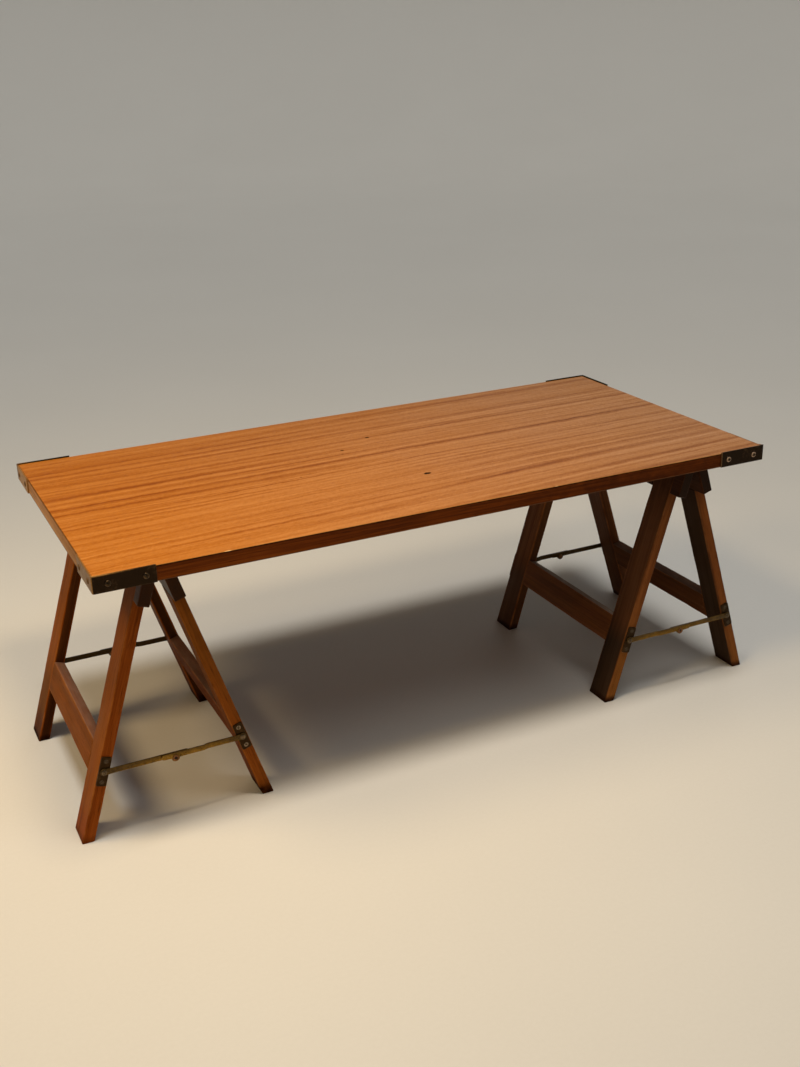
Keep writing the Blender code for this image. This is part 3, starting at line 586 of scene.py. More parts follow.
def turned(bm, profile, sides, centre=(0.0, 0.0, 0.0), edges=()):
    """Turn a profile of (radius, height) points about local +Z; radius 0 closes an end."""
    lay = bm.verts.layers.float["edge_wear"]
    gri = bm.verts.layers.float["grime_and_shade"]
    c = Vector(centre)
    columns = []
    tips = {}
    for k, (r, z, *rest) in enumerate(profile):
        if r <= 1e-7:
            tips[k] = bm.verts.new(c + Vector((0.0, 0.0, z)))
            if rest:
                tips[k][lay] = rest[0]
            if len(rest) > 1:
                tips[k][gri] = rest[1]
    for i in range(sides):
        a = 2.0 * math.pi * i / sides
        column = []
        for k, (r, z, *rest) in enumerate(profile):
            if k in tips:
                column.append(tips[k])
                continue
            v = bm.verts.new(c + Vector((r * math.cos(a), r * math.sin(a), z)))
            if rest:
                v[lay] = rest[0]
            if len(rest) > 1:
                v[gri] = rest[1]
            column.append(v)
        columns.append(column)
    for i in range(sides):
        a, b = columns[i], columns[(i + 1) % sides]
        for k in range(len(profile) - 1):
            quad = []
            for v in (a[k], b[k], b[k + 1], a[k + 1]):
                if v not in quad:
                    quad.append(v)
            if len(quad) > 2:
                bm.faces.new(quad)


def slotted_head(radius, height, slot_w, slot_d, under=0.0004, flat=0.0, sides=28, dirt_and_shade=0.0, rim=0.0,
                 bare=0.0):
    """A slotted screw head, flat underside at z = -under, dome towards +Z."""
    bm = new_bm()
    profile = [(0.0, -under), (radius * 0.96, -under), (radius, -under + 0.0001, 0.4, 0.6),
               (radius, 0.00025, 0.7, 0.3)]
    rings = 6
    for k in range(1, rings):
        a = math.pi / 2 * k / rings
        r = radius * math.cos(a)
        z = height * math.sin(a)
        if flat:
            r = radius - (radius - flat) * (1 - math.cos(a)) if k < rings else flat
            z = height * math.sin(a)
        profile.append((r, z + 0.00025, 0.75))
    profile.append((0.0, height + 0.00025, 0.6))
    turned(bm, profile, sides)
    lay = bm.verts.layers.float["edge_wear"]
    gri = bm.verts.layers.float["grime_and_shade"]
    half = slot_w / 2
    floor = height + 0.00025 - slot_d
    for x in (-half - 0.0001, -half, half, half + 0.0001, -half + 0.00007, half - 0.00007):
        bmesh.ops.bisect_plane(bm, geom=bm.verts[:] + bm.edges[:] + bm.faces[:], dist=1e-7,
                               plane_co=(x, 0.0, 0.0), plane_no=(1.0, 0.0, 0.0))
    chip_and_painted_light = bm.verts.layers.float["chip_and_painted_light"]
    for v in bm.verts:
        v[gri] = max(v[gri], dirt_and_shade)
        v[chip_and_painted_light] = bare
        reach = math.hypot(v.co.x, v.co.y) / radius
        # painted highlight: a bright ring part-way out on the dome, and a darkened middle
        if rim and v.co.z > 0.0002:
            v[chip_and_painted_light] = rim * max(0.0, 1.0 - abs(reach - 0.80) / 0.30)
            v[gri] = max(v[gri], 0.8 * max(0.0, 1.0 - reach / 0.55))
        # the slot floor is darkened, dirt and painted shade in the recess
        if v.co.z > floor:
            if abs(v.co.x) < half - 0.00005:
                v.co.z = floor
                v[lay] = 0.0
                v[gri] = 0.85
            elif abs(v.co.x) < half + 0.00012:
                v[lay] = 1.0
    return bm


def face_matrix(position, normal, turn):
    """A frame whose +Z is the normal, turned about it."""
    return Matrix.Translation(position) @ Vector(normal).to_track_quat("Z", "Y").to_matrix().to_4x4() \
        @ Matrix.Rotation(turn, 4, "Z")


# ------------------------------------------------------------------ the top
def build_top():
    hx, hy = TOP_L / 2, TOP_D / 2
    z_back, z_face = BACK_VENEER, TOP_T - FACE_VENEER
    seat = Matrix.Translation((TOP_X, 0.0, UNDER_Z))

    # face veneer: a fine height field with an eased arris, bruises and an edge chip
    ease, rc = 0.00055, CORNER_EASE
    bruises = [  # x, y, half length, half width, depth, darkness
        (0.0126, -0.1168, 0.0058, 0.0034, 0.00070, 1.0),
        (-0.0604, 0.0658, 0.0028, 0.0020, 0.00030, 0.85),
        (-0.0675, 0.0473, 0.0022, 0.0014, 0.00025, 0.55),
        (0.0087, 0.1127, 0.0036, 0.0022, 0.00035, 0.95),
        (-0.1756, -0.0314, 0.0017, 0.0014, 0.00020, 0.55),
        (0.0573, -0.1703, 0.0018, 0.0013, 0.00020, 0.50),
        (-0.0600, 0.0238, 0.0050, 0.0010, 0.00018, 0.22),
        (0.2450, 0.0300, 0.0014, 0.0012, 0.00018, 0.35),
    ]
    chips = [(-0.3826, -hy, 0.0062, 0.0026, 0.00060), (0.1610, -hy, 0.0030, 0.0012, 0.00040),
             (-0.1220, hy, 0.0040, 0.0014, 0.00045), (hx, 0.0620, 0.0012, 0.0034, 0.00040)]

    def lines(half, marks):
        ls = {-half, half}
        for d in (0.00008, 0.00022, ease, rc, 0.0016, 0.0028, 0.006, 0.0883, 0.0888):
            ls |= {round(-half + d, 6), round(half - d, 6)}
        n = round(2 * half / 0.0125)
        ls |= {round(-half + 0.0125 + (2 * half - 0.025) * i / (n - 2), 6) for i in range(n - 1)}
        for m, reach in marks:
            ls |= {round(m + reach * k / 6, 6) for k in range(-9, 10) if abs(m + reach * k / 6) < half - 0.0013}
        ls = sorted(ls)
        keep = [ls[0]]
        for v in ls[1:]:
            if v - keep[-1] > 0.00007:
                keep.append(v)
        return keep

    xs = lines(hx, [(b[0], b[2]) for b in bruises] + [(c[0], c[2]) for c in chips])
    ys = lines(hy, [(b[1], b[3]) for b in bruises] + [(c[1], c[3]) for c in chips])
    bm = new_bm()
    lay = {k: bm.verts.layers.float[k] for k in LAYERS}
    gl = bm.verts.layers.float_vector["grain_co"]
    grid = []
    for x in xs:
        col = []
        for y in ys:
            px, py, z = x, y, TOP_T
            d = min(hx - abs(x), hy - abs(y))
            if d < ease:
                k = (ease - d) / ease
                z -= ease * (1.0 - math.sqrt(max(0.0, 1.0 - k * k)))
            cx, cy = abs(x) - (hx - rc), abs(y) - (hy - rc)
            if cx > 0.0 and cy > 0.0:
                k = max(cx, cy) / math.hypot(cx, cy)
                px = math.copysign(hx - rc + cx * k, x)
                py = math.copysign(hy - rc + cy * k, y)
            dark = pale = 0.0
            for bx, by, rx, ry, depth, tone in bruises:
                wob = 1.0 + 0.35 * noise.noise(Vector((x * 600.0, y * 600.0, bx * 90.0)))
                q = math.hypot((x - bx) / rx, (y - by) / ry) * wob
                if q < 1.5:
                    f = max(0.0, 1.0 - q * q / 1.6)
                    z -= depth * f
                    dark = max(dark, tone * min(1.0, f * 2.4))
                    if 0.95 < q < 1.5:
                        z += depth * 0.12
            for bx, by, rx, ry, depth in chips:
                wob = 1.0 + 0.40 * noise.noise(Vector((x * 420.0, y * 420.0, bx * 50.0)))
                q = math.hypot((x - bx) / rx, (y - by) / ry) * wob
                if q < 1.0:
                    z = min(z, TOP_T - depth * (1.0 - q * 0.4))
                    pale = max(pale, min(1.0, (1.0 - q) * 4.0))
            near_end, near_side = hx - abs(x) < 0.0013, hy - abs(y) < 0.0013
            by_bracket = abs(x) > hx - 0.0885 and abs(y) > hy - 0.0885
            if by_bracket and x < 0.0 and y < 0.0:
                if near_side:                           # arris rubbed pale over this bracket
                    pale = max(pale, 0.42 + 0.30 * noise.noise(Vector((x * 160.0, 1.7, 0.0))))
                # painted shade: a fainter dark line along the left end over this bracket
                elif near_end:
                    dark = max(dark, 0.22)
            elif by_bracket and (near_end or near_side):
                dark = max(dark, 0.62 if x > 0.0 or near_side else 0.40)   # darkened strip along the edges next to the brackets
            elif near_end and x < 0.0:
                dark = max(dark, 0.70)                  # painted shade: a dark line along the left end
            z += 0.00004 * noise.noise(Vector((x * 6.0, y * 9.0, 0.3)))
            v = bm.verts.new((px, py, min(z, TOP_T)))
            v[lay["edge_wear"]] = max(0.0, 1.0 - d / 0.0022)
            v[lay["mark_and_painted_light"]] = dark
            v[lay["chip_and_painted_light"]] = pale
            v[gl] = (y, z, x)
            col.append(v)
        grid.append(col)
    for i in range(len(xs) - 1):
        for j in range(len(ys) - 1):
            bm.faces.new((grid[i][j], grid[i + 1][j], grid[i + 1][j + 1], grid[i][j + 1]))
    rim = ([grid[i][0] for i in range(len(xs))] + [grid[-1][j] for j in range(1, len(ys))]
           + [grid[i][-1] for i in range(len(xs) - 2, -1, -1)]
           + [grid[0][j] for j in range(len(ys) - 2, 0, -1)])
    low = []
    for v in rim:
        b = bm.verts.new((v.co.x, v.co.y, z_face + 0.00002))
        b[gl] = (v.co.y, z_face, v.co.x)
        # painted shade: the veneer's edge faces are darkened
        b[lay["mark_and_painted_light"]] = 0.9
        low.append(b)
    for i in range(len(rim)):
        j = (i + 1) % len(rim)
        bm.faces.new((rim[i], rim[j], low[j], low[i]))
    bm.faces.new(low[::-1])
    piece("top_veneer_sheet", bm, ["veneer"], "tabletop", "top_face_veneer", seat)

    # lippings, solid strips with eased arrises and a dark seam under the veneer
    def seam(a, b, t):
        return min(1.0, max(0.0, 1.5 - (z_face - b) / 0.0017))

    for k, (name, side) in enumerate((("front", -1), ("back", 1))):
        bm = new_bm()
        corners = [(hy - LIPPING, z_back), (hy, z_back), (hy, z_face), (hy - LIPPING, z_face)]
        def aged(a, b, t):
            k = min(1.0, max(0.0, (t - hx + 0.12) / 0.40))
            return max(seam(a, b, t), 0.10 + 0.50 * k * k * (3.0 - 2.0 * k))

        loft(bm, corners, 0.0007, stations(TOP_L, 0.016, 0.0009, 0.0009),
             lambda a, b, t, side=side: (t - hx, side * a, b), 3.1 + 5.7 * k, pad=0.0016, ding=0.0006,
             tip=aged, offset=(0.7 + k, 0.3, 0.2 + 0.9 * k))
        piece("top_%s_edge_strip" % name, bm, ["lipping", "lipping_end"], "tabletop",
              "top_%s_lipping" % name, seat)
    cy = hy - LIPPING
    for k, (name, side) in enumerate((("left", -1), ("right", 1))):
        bm = new_bm()
        corners = [(hx - LIPPING, z_back), (hx, z_back), (hx, z_face), (hx - LIPPING, z_face)]
        # end darkening: the right end strip a little all over, the left one over its front half, toning down its
        # painted sheen there
        def end_darkening(a, b, t, side=side):
            if side > 0:
                return max(seam(a, b, t), 0.35)
            return max(0.6 * seam(a, b, t), 0.56 * max(0.0, 1.0 - t / cy))

        loft(bm, corners, 0.0007, stations(2 * cy, 0.016, 0.0003, 0.0003),
             lambda a, b, t, side=side: (side * a, t - cy, b), 9.1 + 4.3 * k, pad=0.0016, ding=0.0006,
             tip=end_darkening, offset=(2.6 + k, 0.8, 0.4 + 0.7 * k))
        # the left end strip takes a paler copy of the lipping wood: painted sheen
        piece("top_%s_edge_strip" % name, bm, ["lipping_painted_sheen" if side < 0 else "lipping", "lipping_end"],
              "tabletop", "top_%s_lipping" % name, seat)

    # corner brackets: one strip bent round the corner, with eased and slightly battered edges
    rng = random.Random(41)
    arm_x, arm_y = BRACKET_ARM, BRACKET_ARM
    mid = BRACKET_T / 2 + GAP * 0.2
    r_mid = CORNER_EASE + mid
    straight = arm_y - CORNER_EASE
    bend = r_mid * math.pi / 2
    zb0, zb1 = BRACKET_INSET - 0.0008, TOP_T + 0.0020  # the strips are a little taller than the edge
    for name, sx, sy in (("front_left", -1, -1), ("front_right", 1, -1),
                         ("back_left", -1, 1), ("back_right", 1, 1)):

        def place(a, b, t, sx=sx, sy=sy):
            if (sx, sy) == (1, -1):                     # this strip leans: its end arm lies lower
                k = min(1.0, max(0.0, (straight + bend - t) / 0.016))
                b -= 0.0027 * k * k * (3.0 - 2.0 * k) * (b - zb0) / (zb1 - zb0)
            if t < straight:
                x, y = hx + mid + a, hy - arm_y + t
            elif t < straight + bend:
                q = (t - straight) / r_mid
                x = hx - CORNER_EASE + (r_mid + a) * math.cos(q)
                y = hy - CORNER_EASE + (r_mid + a) * math.sin(q)
            else:
                x, y = hx - CORNER_EASE - (t - straight - bend), hy + mid + a
            return (sx * x, sy * y, b)

        total = 2 * straight + bend
        ends = stations(total, 0.009, 0.0006, 0.0006, pad=0.0012)
        places = [p for p in ends if not straight - 0.002 < p[0] < straight + bend + 0.002]
        places += [(straight + bend * i / 8.0, 0.0, 0.55) for i in range(9)]
        places += [(straight - 0.0016, 0.0, 0.0), (straight + bend + 0.0016, 0.0, 0.0)]
        places.sort(key=lambda p: p[0])
        t2 = BRACKET_T / 2 - GAP * 0.1
        corners = [(-t2, zb0), (t2, zb0), (t2, zb1), (-t2, zb1)]
        # bare metal and painted light: rubbed top edges, a painted sheen along the end arms of the left brackets,
        # painted highlights on the front-left corner and at the inner end of the front-right bracket's front arm
        def worn(a, b, t, sx=sx, sy=sy):
            on_end = t < straight
            if sx < 0 and sy < 0:
                if on_end:
                    return 0.92
                if t < straight + bend * 0.55:
                    return 0.75
                return 0.90 * max(0.0, 1.0 - (t - straight) / 0.060) if b > zb1 - 0.0008 else 0.0
            if sx < 0:
                if not on_end:
                    return 0.40 * max(0.0, 1.0 - (t - straight) / 0.060) if b > zb1 - 0.0016 else 0.0
                return 0.95 - 0.55 * max(0.0, (t - straight + 0.014) / 0.014)
            if sy < 0 and on_end and b > zb1 - 0.0016:
                return 0.75
            return 0.40 if sy < 0 and t > total - 0.0008 else 0.0

        # darkening: the front-left end arm in patches, which tones down its painted sheen, and the top edges of the
        # back brackets
        def bracket_darkening(a, b, edge, t, sx=sx, sy=sy):
            if sx < 0 and sy < 0:
                patch = 0.14 * noise.noise(Vector((t * 90.0, b * 160.0, 3.0)))
                return 0.42 + patch if t < straight else 0.0
            if sy > 0 and b > zb1 - 0.0007:
                return 0.25 if sx < 0 and t < straight + 0.020 else 0.92
            return 0.0

        bm = new_bm()
        loft(bm, corners, 0.0006, places, place, 2.0 * sx + 5.0 * sy, pad=0.0016, ding=0.00016, cap=0,
             inner=0.0005, painted_darkening=bracket_darkening, bare=worn)
        piece("%s_bracket_strip" % name, bm, ["bracket_sheen_and_wear" if sx < 0 else "bracket"], "tabletop",
              "%s_corner_bracket" % name, seat)
        zm = TOP_T / 2
        out = mid + t2
        for k, d in enumerate(BRACKET_HOLES):
            for face, pos, normal in (("side", (sx * (hx - d), sy * (hy + out), zm), (0.0, sy, 0.0)),
                                      ("end", (sx * (hx + out), sy * (hy - d), zm), (sx, 0.0, 0.0))):
                # the front-right screws get a painted rim highlight, the screws on the left ends a painted tan sheen,
                # the others are darkened and keep a faint painted rim
                lit = name == "front_right"
                tan = sx < 0 and face == "end"
                bm = slotted_head(0.0047, 0.0017, 0.0011, 0.0010, dirt_and_shade=0.0 if lit else 0.12 if tan else 0.30,
                                  rim=0.95 if lit else 0.0 if tan else 0.10, bare=0.65 if tan else 0.0)
                piece("%s_bracket_%s_screw_%d" % (name, face, k + 1), bm,
                      ["bracket_sheen_and_wear_screw" if tan else "bracket_screw"], "tabletop", None,
                      seat @ face_matrix(pos, normal, rng.uniform(0.0, 3.1)))


# ------------------------------------------------------------------ trestle leaves
def leaf_matrix(trestle, side, s):
    return Matrix.Translation((side * TRESTLE_X, TRESTLE_Y[trestle], PIN_Z)) \
        @ Matrix.Rotation(-s * LEAN, 4, "Y")


def build_leaf(trestle, leaf, side, s, rng):
    tag = "%s_%s" % (trestle, leaf)
    body = "%s_leaf" % tag
    m = leaf_matrix(trestle, side, s)
    rail_top = UNDER_Z - 0.00005
    ease = 0.0016

    def offset():
        return (rng.uniform(0, 9), rng.uniform(0, 9), rng.uniform(0, 9))

    # legs: the outer half runs up over the rail to the top, the inner half stops under the rail
    shoulder = RAIL_BOTTOM - leaf_z(X_MID, 0.0)
    length = shoulder + RAIL_W
    lap = X_MID + 0.00005

    def leg_place(e):
        def place(a, b, t):
            if t <= shoulder:
                z0 = leaf_z(a, 0.0)
                z = z0 + (RAIL_BOTTOM - 0.00005 - z0) * t / shoulder
            else:
                a = max(a, lap)
                z1 = leaf_z(a, rail_top)
                z = RAIL_BOTTOM + (z1 - RAIL_BOTTOM) * (t - shoulder) / RAIL_W
            return (s * a, e * b, z)
        return place

    # painted shade per face: the two wide faces and the inner narrow face are darkened for the little light that
    # reaches them under the top, most on the right trestle; the arrises are darkened less, on the left not at all
    wood = "leg" if trestle == "left" else "leg_cool_lit"
    if trestle == "left":
        deep, within = ((0.40, 0.05), 0.75) if leaf == "outer" else ((0.35, 0.25), 0.85)
    else:
        deep, within = ((0.96, 0.45), 0.50) if leaf == "outer" else ((0.62, 0.58), 0.64)

    def leg_painted_shade(a, b, edge, t, e):
        low, part = 0.0, 1.0
        # painted shade: the lower ends of the right inner leaves and of the left outer leaf's back leg are darkened
        if trestle == "right":
            part = 1.0 if e < 0 else 0.62
            if leaf == "inner":
                low = 0.36 * min(1.0, max(0.0, (0.150 - t) / 0.040))
        elif leaf == "outer" and e > 0:
            low = 0.60 * min(1.0, max(0.0, (0.160 - t) / 0.060))
        if edge:
            return 0.0 if trestle == "left" else 0.60 * (deep[0] if a < X_MID else deep[1]) * part
        if abs(a - X_IN) < 0.0003:
            return min(1.0, deep[0] * part + low)
        if abs(a - X_OUT) < 0.0003:
            return min(1.0, deep[1] * part + low)
        return 0.0 if b > HALF - 0.0003 else within

    # painted shade on the stretchers' faces, more on the right trestle, and on the left outer one more towards the back
    def cross_painted_shade(a, b, edge, t):
        if edge:
            return 0.1 if trestle == "left" else 0.35
        back = 0.22 * t / (2.0 * HALF) if (trestle, leaf) == ("left", "outer") else 0.0
        return (0.65 if trestle == "left" else 0.48) * (deep[0] if a < X_MID else deep[1]) + back

    # dust and painted light on the stretchers' top faces
    def cross_dust_and_lit_top(a, b, t):
        if b < STRETCHER_Z + STRETCHER_W / 2 - 0.0003:
            return 0.0
        return 0.30 if trestle == "left" else 0.75 if leaf == "inner" else 0.40

    # painted light: the left outer stretcher's outer face is lifted paler as if lit
    def cross_painted_lift(a, b, t):
        return 0.30 if (trestle, leaf) == ("left", "outer") and abs(a - X_OUT) < 0.0003 else 0.0

    # painted shade: the rails are darkened all over, under the top
    def rail_painted_shade(a, b, edge, t):
        return 0.70 if edge else 0.75

    soak = 0.024 if (trestle, leaf) == ("left", "inner") else rng.uniform(0.011, 0.015)

    def foot_soak_and_top_shade(a, b, t, e):
        foot = min(1.0, max(0.0, 1.9 * (1.0 - t / soak)))
        if (trestle, leaf, e) == ("left", "outer", -1):
            foot *= 0.40
        # painted shade: the legs darken towards their tops, under the table
        up = min(1.0, max(0.0, (t - shoulder + 0.050) / 0.065))
        return max(foot, (0.50 if trestle == "left" else 0.72) * up ** 1.4)

    # painted light: faces are lifted paler as if lit; on the left trestle the visible wide faces and the inner leaf's
    # narrow end faces, rising towards the top, on the right trestle the narrow end faces towards the bottom
    def leg_painted_lift(a, b, t):
        if trestle == "left" and leaf == "outer" and abs(a - X_OUT) < 0.0003:
            return 0.36 * min(1.0, max(0.0, (t - 0.030) / 0.030))
        if trestle == "left" and leaf == "inner" and abs(a - X_IN) < 0.0003:
            return 0.34 * min(1.0, max(0.0, (t - 0.10) / 0.12))
        if b > HALF - 0.0003 and leaf == "inner":
            if trestle == "left":
                return 0.24 + 0.18 * min(1.0, max(0.0, (t - 0.16) / 0.12))
            return 0.50 * min(1.0, max(0.0, (0.200 - t) / 0.120))
        if b > HALF - 0.0003 and trestle == "right":
            return 0.22 * min(1.0, max(0.0, (0.160 - t) / 0.120))
        return 0.0

    for end, e in (("front", -1), ("back", 1)):
        bm = new_bm()
        corners = [(X_IN, HALF - LEG_W), (X_OUT, HALF - LEG_W), (X_OUT, HALF), (X_IN, HALF)]
        places = [q for q in stations(length, 0.013, 0.0013, 0.0004) if abs(q[0] - shoulder) > 0.003]
        places += [(shoulder, 0.0, 0.0), (shoulder + 0.0003, 0.0, 0.0)]
        places += [(0.0080, 0.0, 0.0), (0.0115, 0.0, 0.0), (0.0145, 0.0, 0.0), (0.0210, 0.0, 0.0)]
        places.sort(key=lambda q: q[0])
        loft(bm, corners, ease, places, leg_place(e), rng.uniform(0, 50), ding=0.0009,
             tip=lambda a, b, t, e=e: foot_soak_and_top_shade(a, b, t, e),
             pad=0.0018, offset=offset(), painted_darkening=lambda a, b, edge, t, e=e: leg_painted_shade(a, b, edge, t, e),
             bare=leg_painted_lift)
        piece("%s_%s_leg_board" % (tag, end), bm, [wood, "end"], body, "%s_%s_leg" % (tag, end), m)

    # rail: halved on its outside where the legs pass
    bm = new_bm()
    corners = [(X_IN, RAIL_BOTTOM), (X_OUT, RAIL_BOTTOM), (X_OUT, leaf_z(X_OUT, rail_top)),
               (X_IN, leaf_z(X_IN, rail_top))]
    half = HALF + RAIL_END
    cuts = (HALF - LEG_W, HALF)

    def rail_place(a, b, t):
        y = t - half
        if cuts[0] < abs(y) < cuts[1]:
            a = min(a, X_MID - 0.00005)
        return (s * a, y, b)

    places = [q for q in stations(2 * half, 0.014, 0.0013, 0.0013)
              if min(abs(abs(q[0] - half) - c) for c in cuts) > 0.003]
    for c in cuts:
        for e in (-1, 1):
            places += [(half + e * c + d, 0.0, 0.0) for d in (-0.00006, 0.00006)]
    places.sort(key=lambda q: q[0])
    loft(bm, corners, ease, places, rail_place, rng.uniform(0, 50), ding=0.0009, pad=0.0018,
         offset=offset(), painted_darkening=rail_painted_shade, wear=0.35)
    piece("%s_rail_board" % tag, bm, ["rail", "end" if trestle == "left" else "rail_end_shaded"], body, "%s_top_rail" % tag, m)

    bm = new_bm()
    corners = [(X_IN, STRETCHER_Z - STRETCHER_W / 2), (X_OUT, STRETCHER_Z - STRETCHER_W / 2),
               (X_OUT, STRETCHER_Z + STRETCHER_W / 2), (X_IN, STRETCHER_Z + STRETCHER_W / 2)]
    span = 2 * (HALF - LEG_W) - 0.0001
    loft(bm, corners, ease, stations(span, 0.014, 0.0004, 0.0004),
         lambda a, b, t: (s * a, t - span / 2, b), rng.uniform(0, 50), ding=0.0009, pad=0.0018,
         offset=offset(), painted_darkening=cross_painted_shade, bare=cross_painted_lift, dust_and_lit_top=cross_dust_and_lit_top)
    piece("%s_stretcher_board" % tag, bm, [wood, "end"], body, "%s_stretcher" % tag, m)


# ------------------------------------------------------------------ stays
def arc(cx, cz, r, start, stop, steps):
    return [(cx + r * math.cos(math.radians(start + (stop - start) * i / steps)),
             cz + r * math.sin(math.radians(start + (stop - start) * i / steps))) for i in range(steps + 1)]


def slab(bm, outline, lo, hi, ease, grime_and_shade=0.0):
    """A flat bar of the given (x, z) outline between two y planes, with softened outline edges."""
    lay = bm.verts.layers.float["edge_wear"]
    gri = bm.verts.layers.float["grime_and_shade"]
    low = [bm.verts.new((x, lo, z)) for x, z in outline]
    high = [bm.verts.new((x, hi, z)) for x, z in outline]
    faces = [bm.faces.new(low[::-1]), bm.faces.new(high)]
    n = len(outline)
    for i in range(n):
        j = (i + 1) % n
        bm.faces.new((low[i], low[j], high[j], high[i]))
    edges = {e for f in faces for e in f.edges}
    out = bmesh.ops.bevel(bm, geom=list(edges), offset=ease, offset_type="OFFSET", segments=2, profile=0.5,
                          affect="EDGES", clamp_overlap=True)
    for v in out["verts"]:
        v[lay] = 1.0
    for v in bm.verts:
        # the upper half of the bar is darkened as painted shade; the bar also darkens towards its eye end
        upper = 0.55 if v.co.z > LINK_H * 0.44 else 0.0
        eye = 0.70 * max(0.0, 1.0 - max(0.0, v.co.x - 0.004) / 0.009)
        v[gri] = max(grime_and_shade, upper, eye)


def link_outline():
    h = LINK_H / 2
    a = math.degrees(math.asin(h / LINK_EYE_R))
    lobe = math.degrees(math.asin((STAY_SAG - h) / LINK_LOBE_R))
    out = arc(0.0, 0.0, LINK_EYE_R, a, 360.0 - a, 26)
    out += [(x * 0.001, -h) for x in (14, 28, 42, 55, 57.25, 59.5, 61.75, 64, 76, 88)]
    out += arc(PIVOT_X, -STAY_SAG, LINK_LOBE_R, 180.0 - lobe, 360.0 + lobe, 20)
    tip = PIVOT_X + LINK_PAST
    out += arc(tip - 0.0035, -h + 0.0035, 0.0035, -90.0, 0.0, 6)
    out += arc(tip - 0.0035, h - 0.0035, 0.0035, 0.0, 90.0, 6)
    out += [(x * 0.001, h) for x in (112, 100, 88, 76, 64, 61.75, 59.5, 57.25, 55, 42, 28, 14)]
    return out


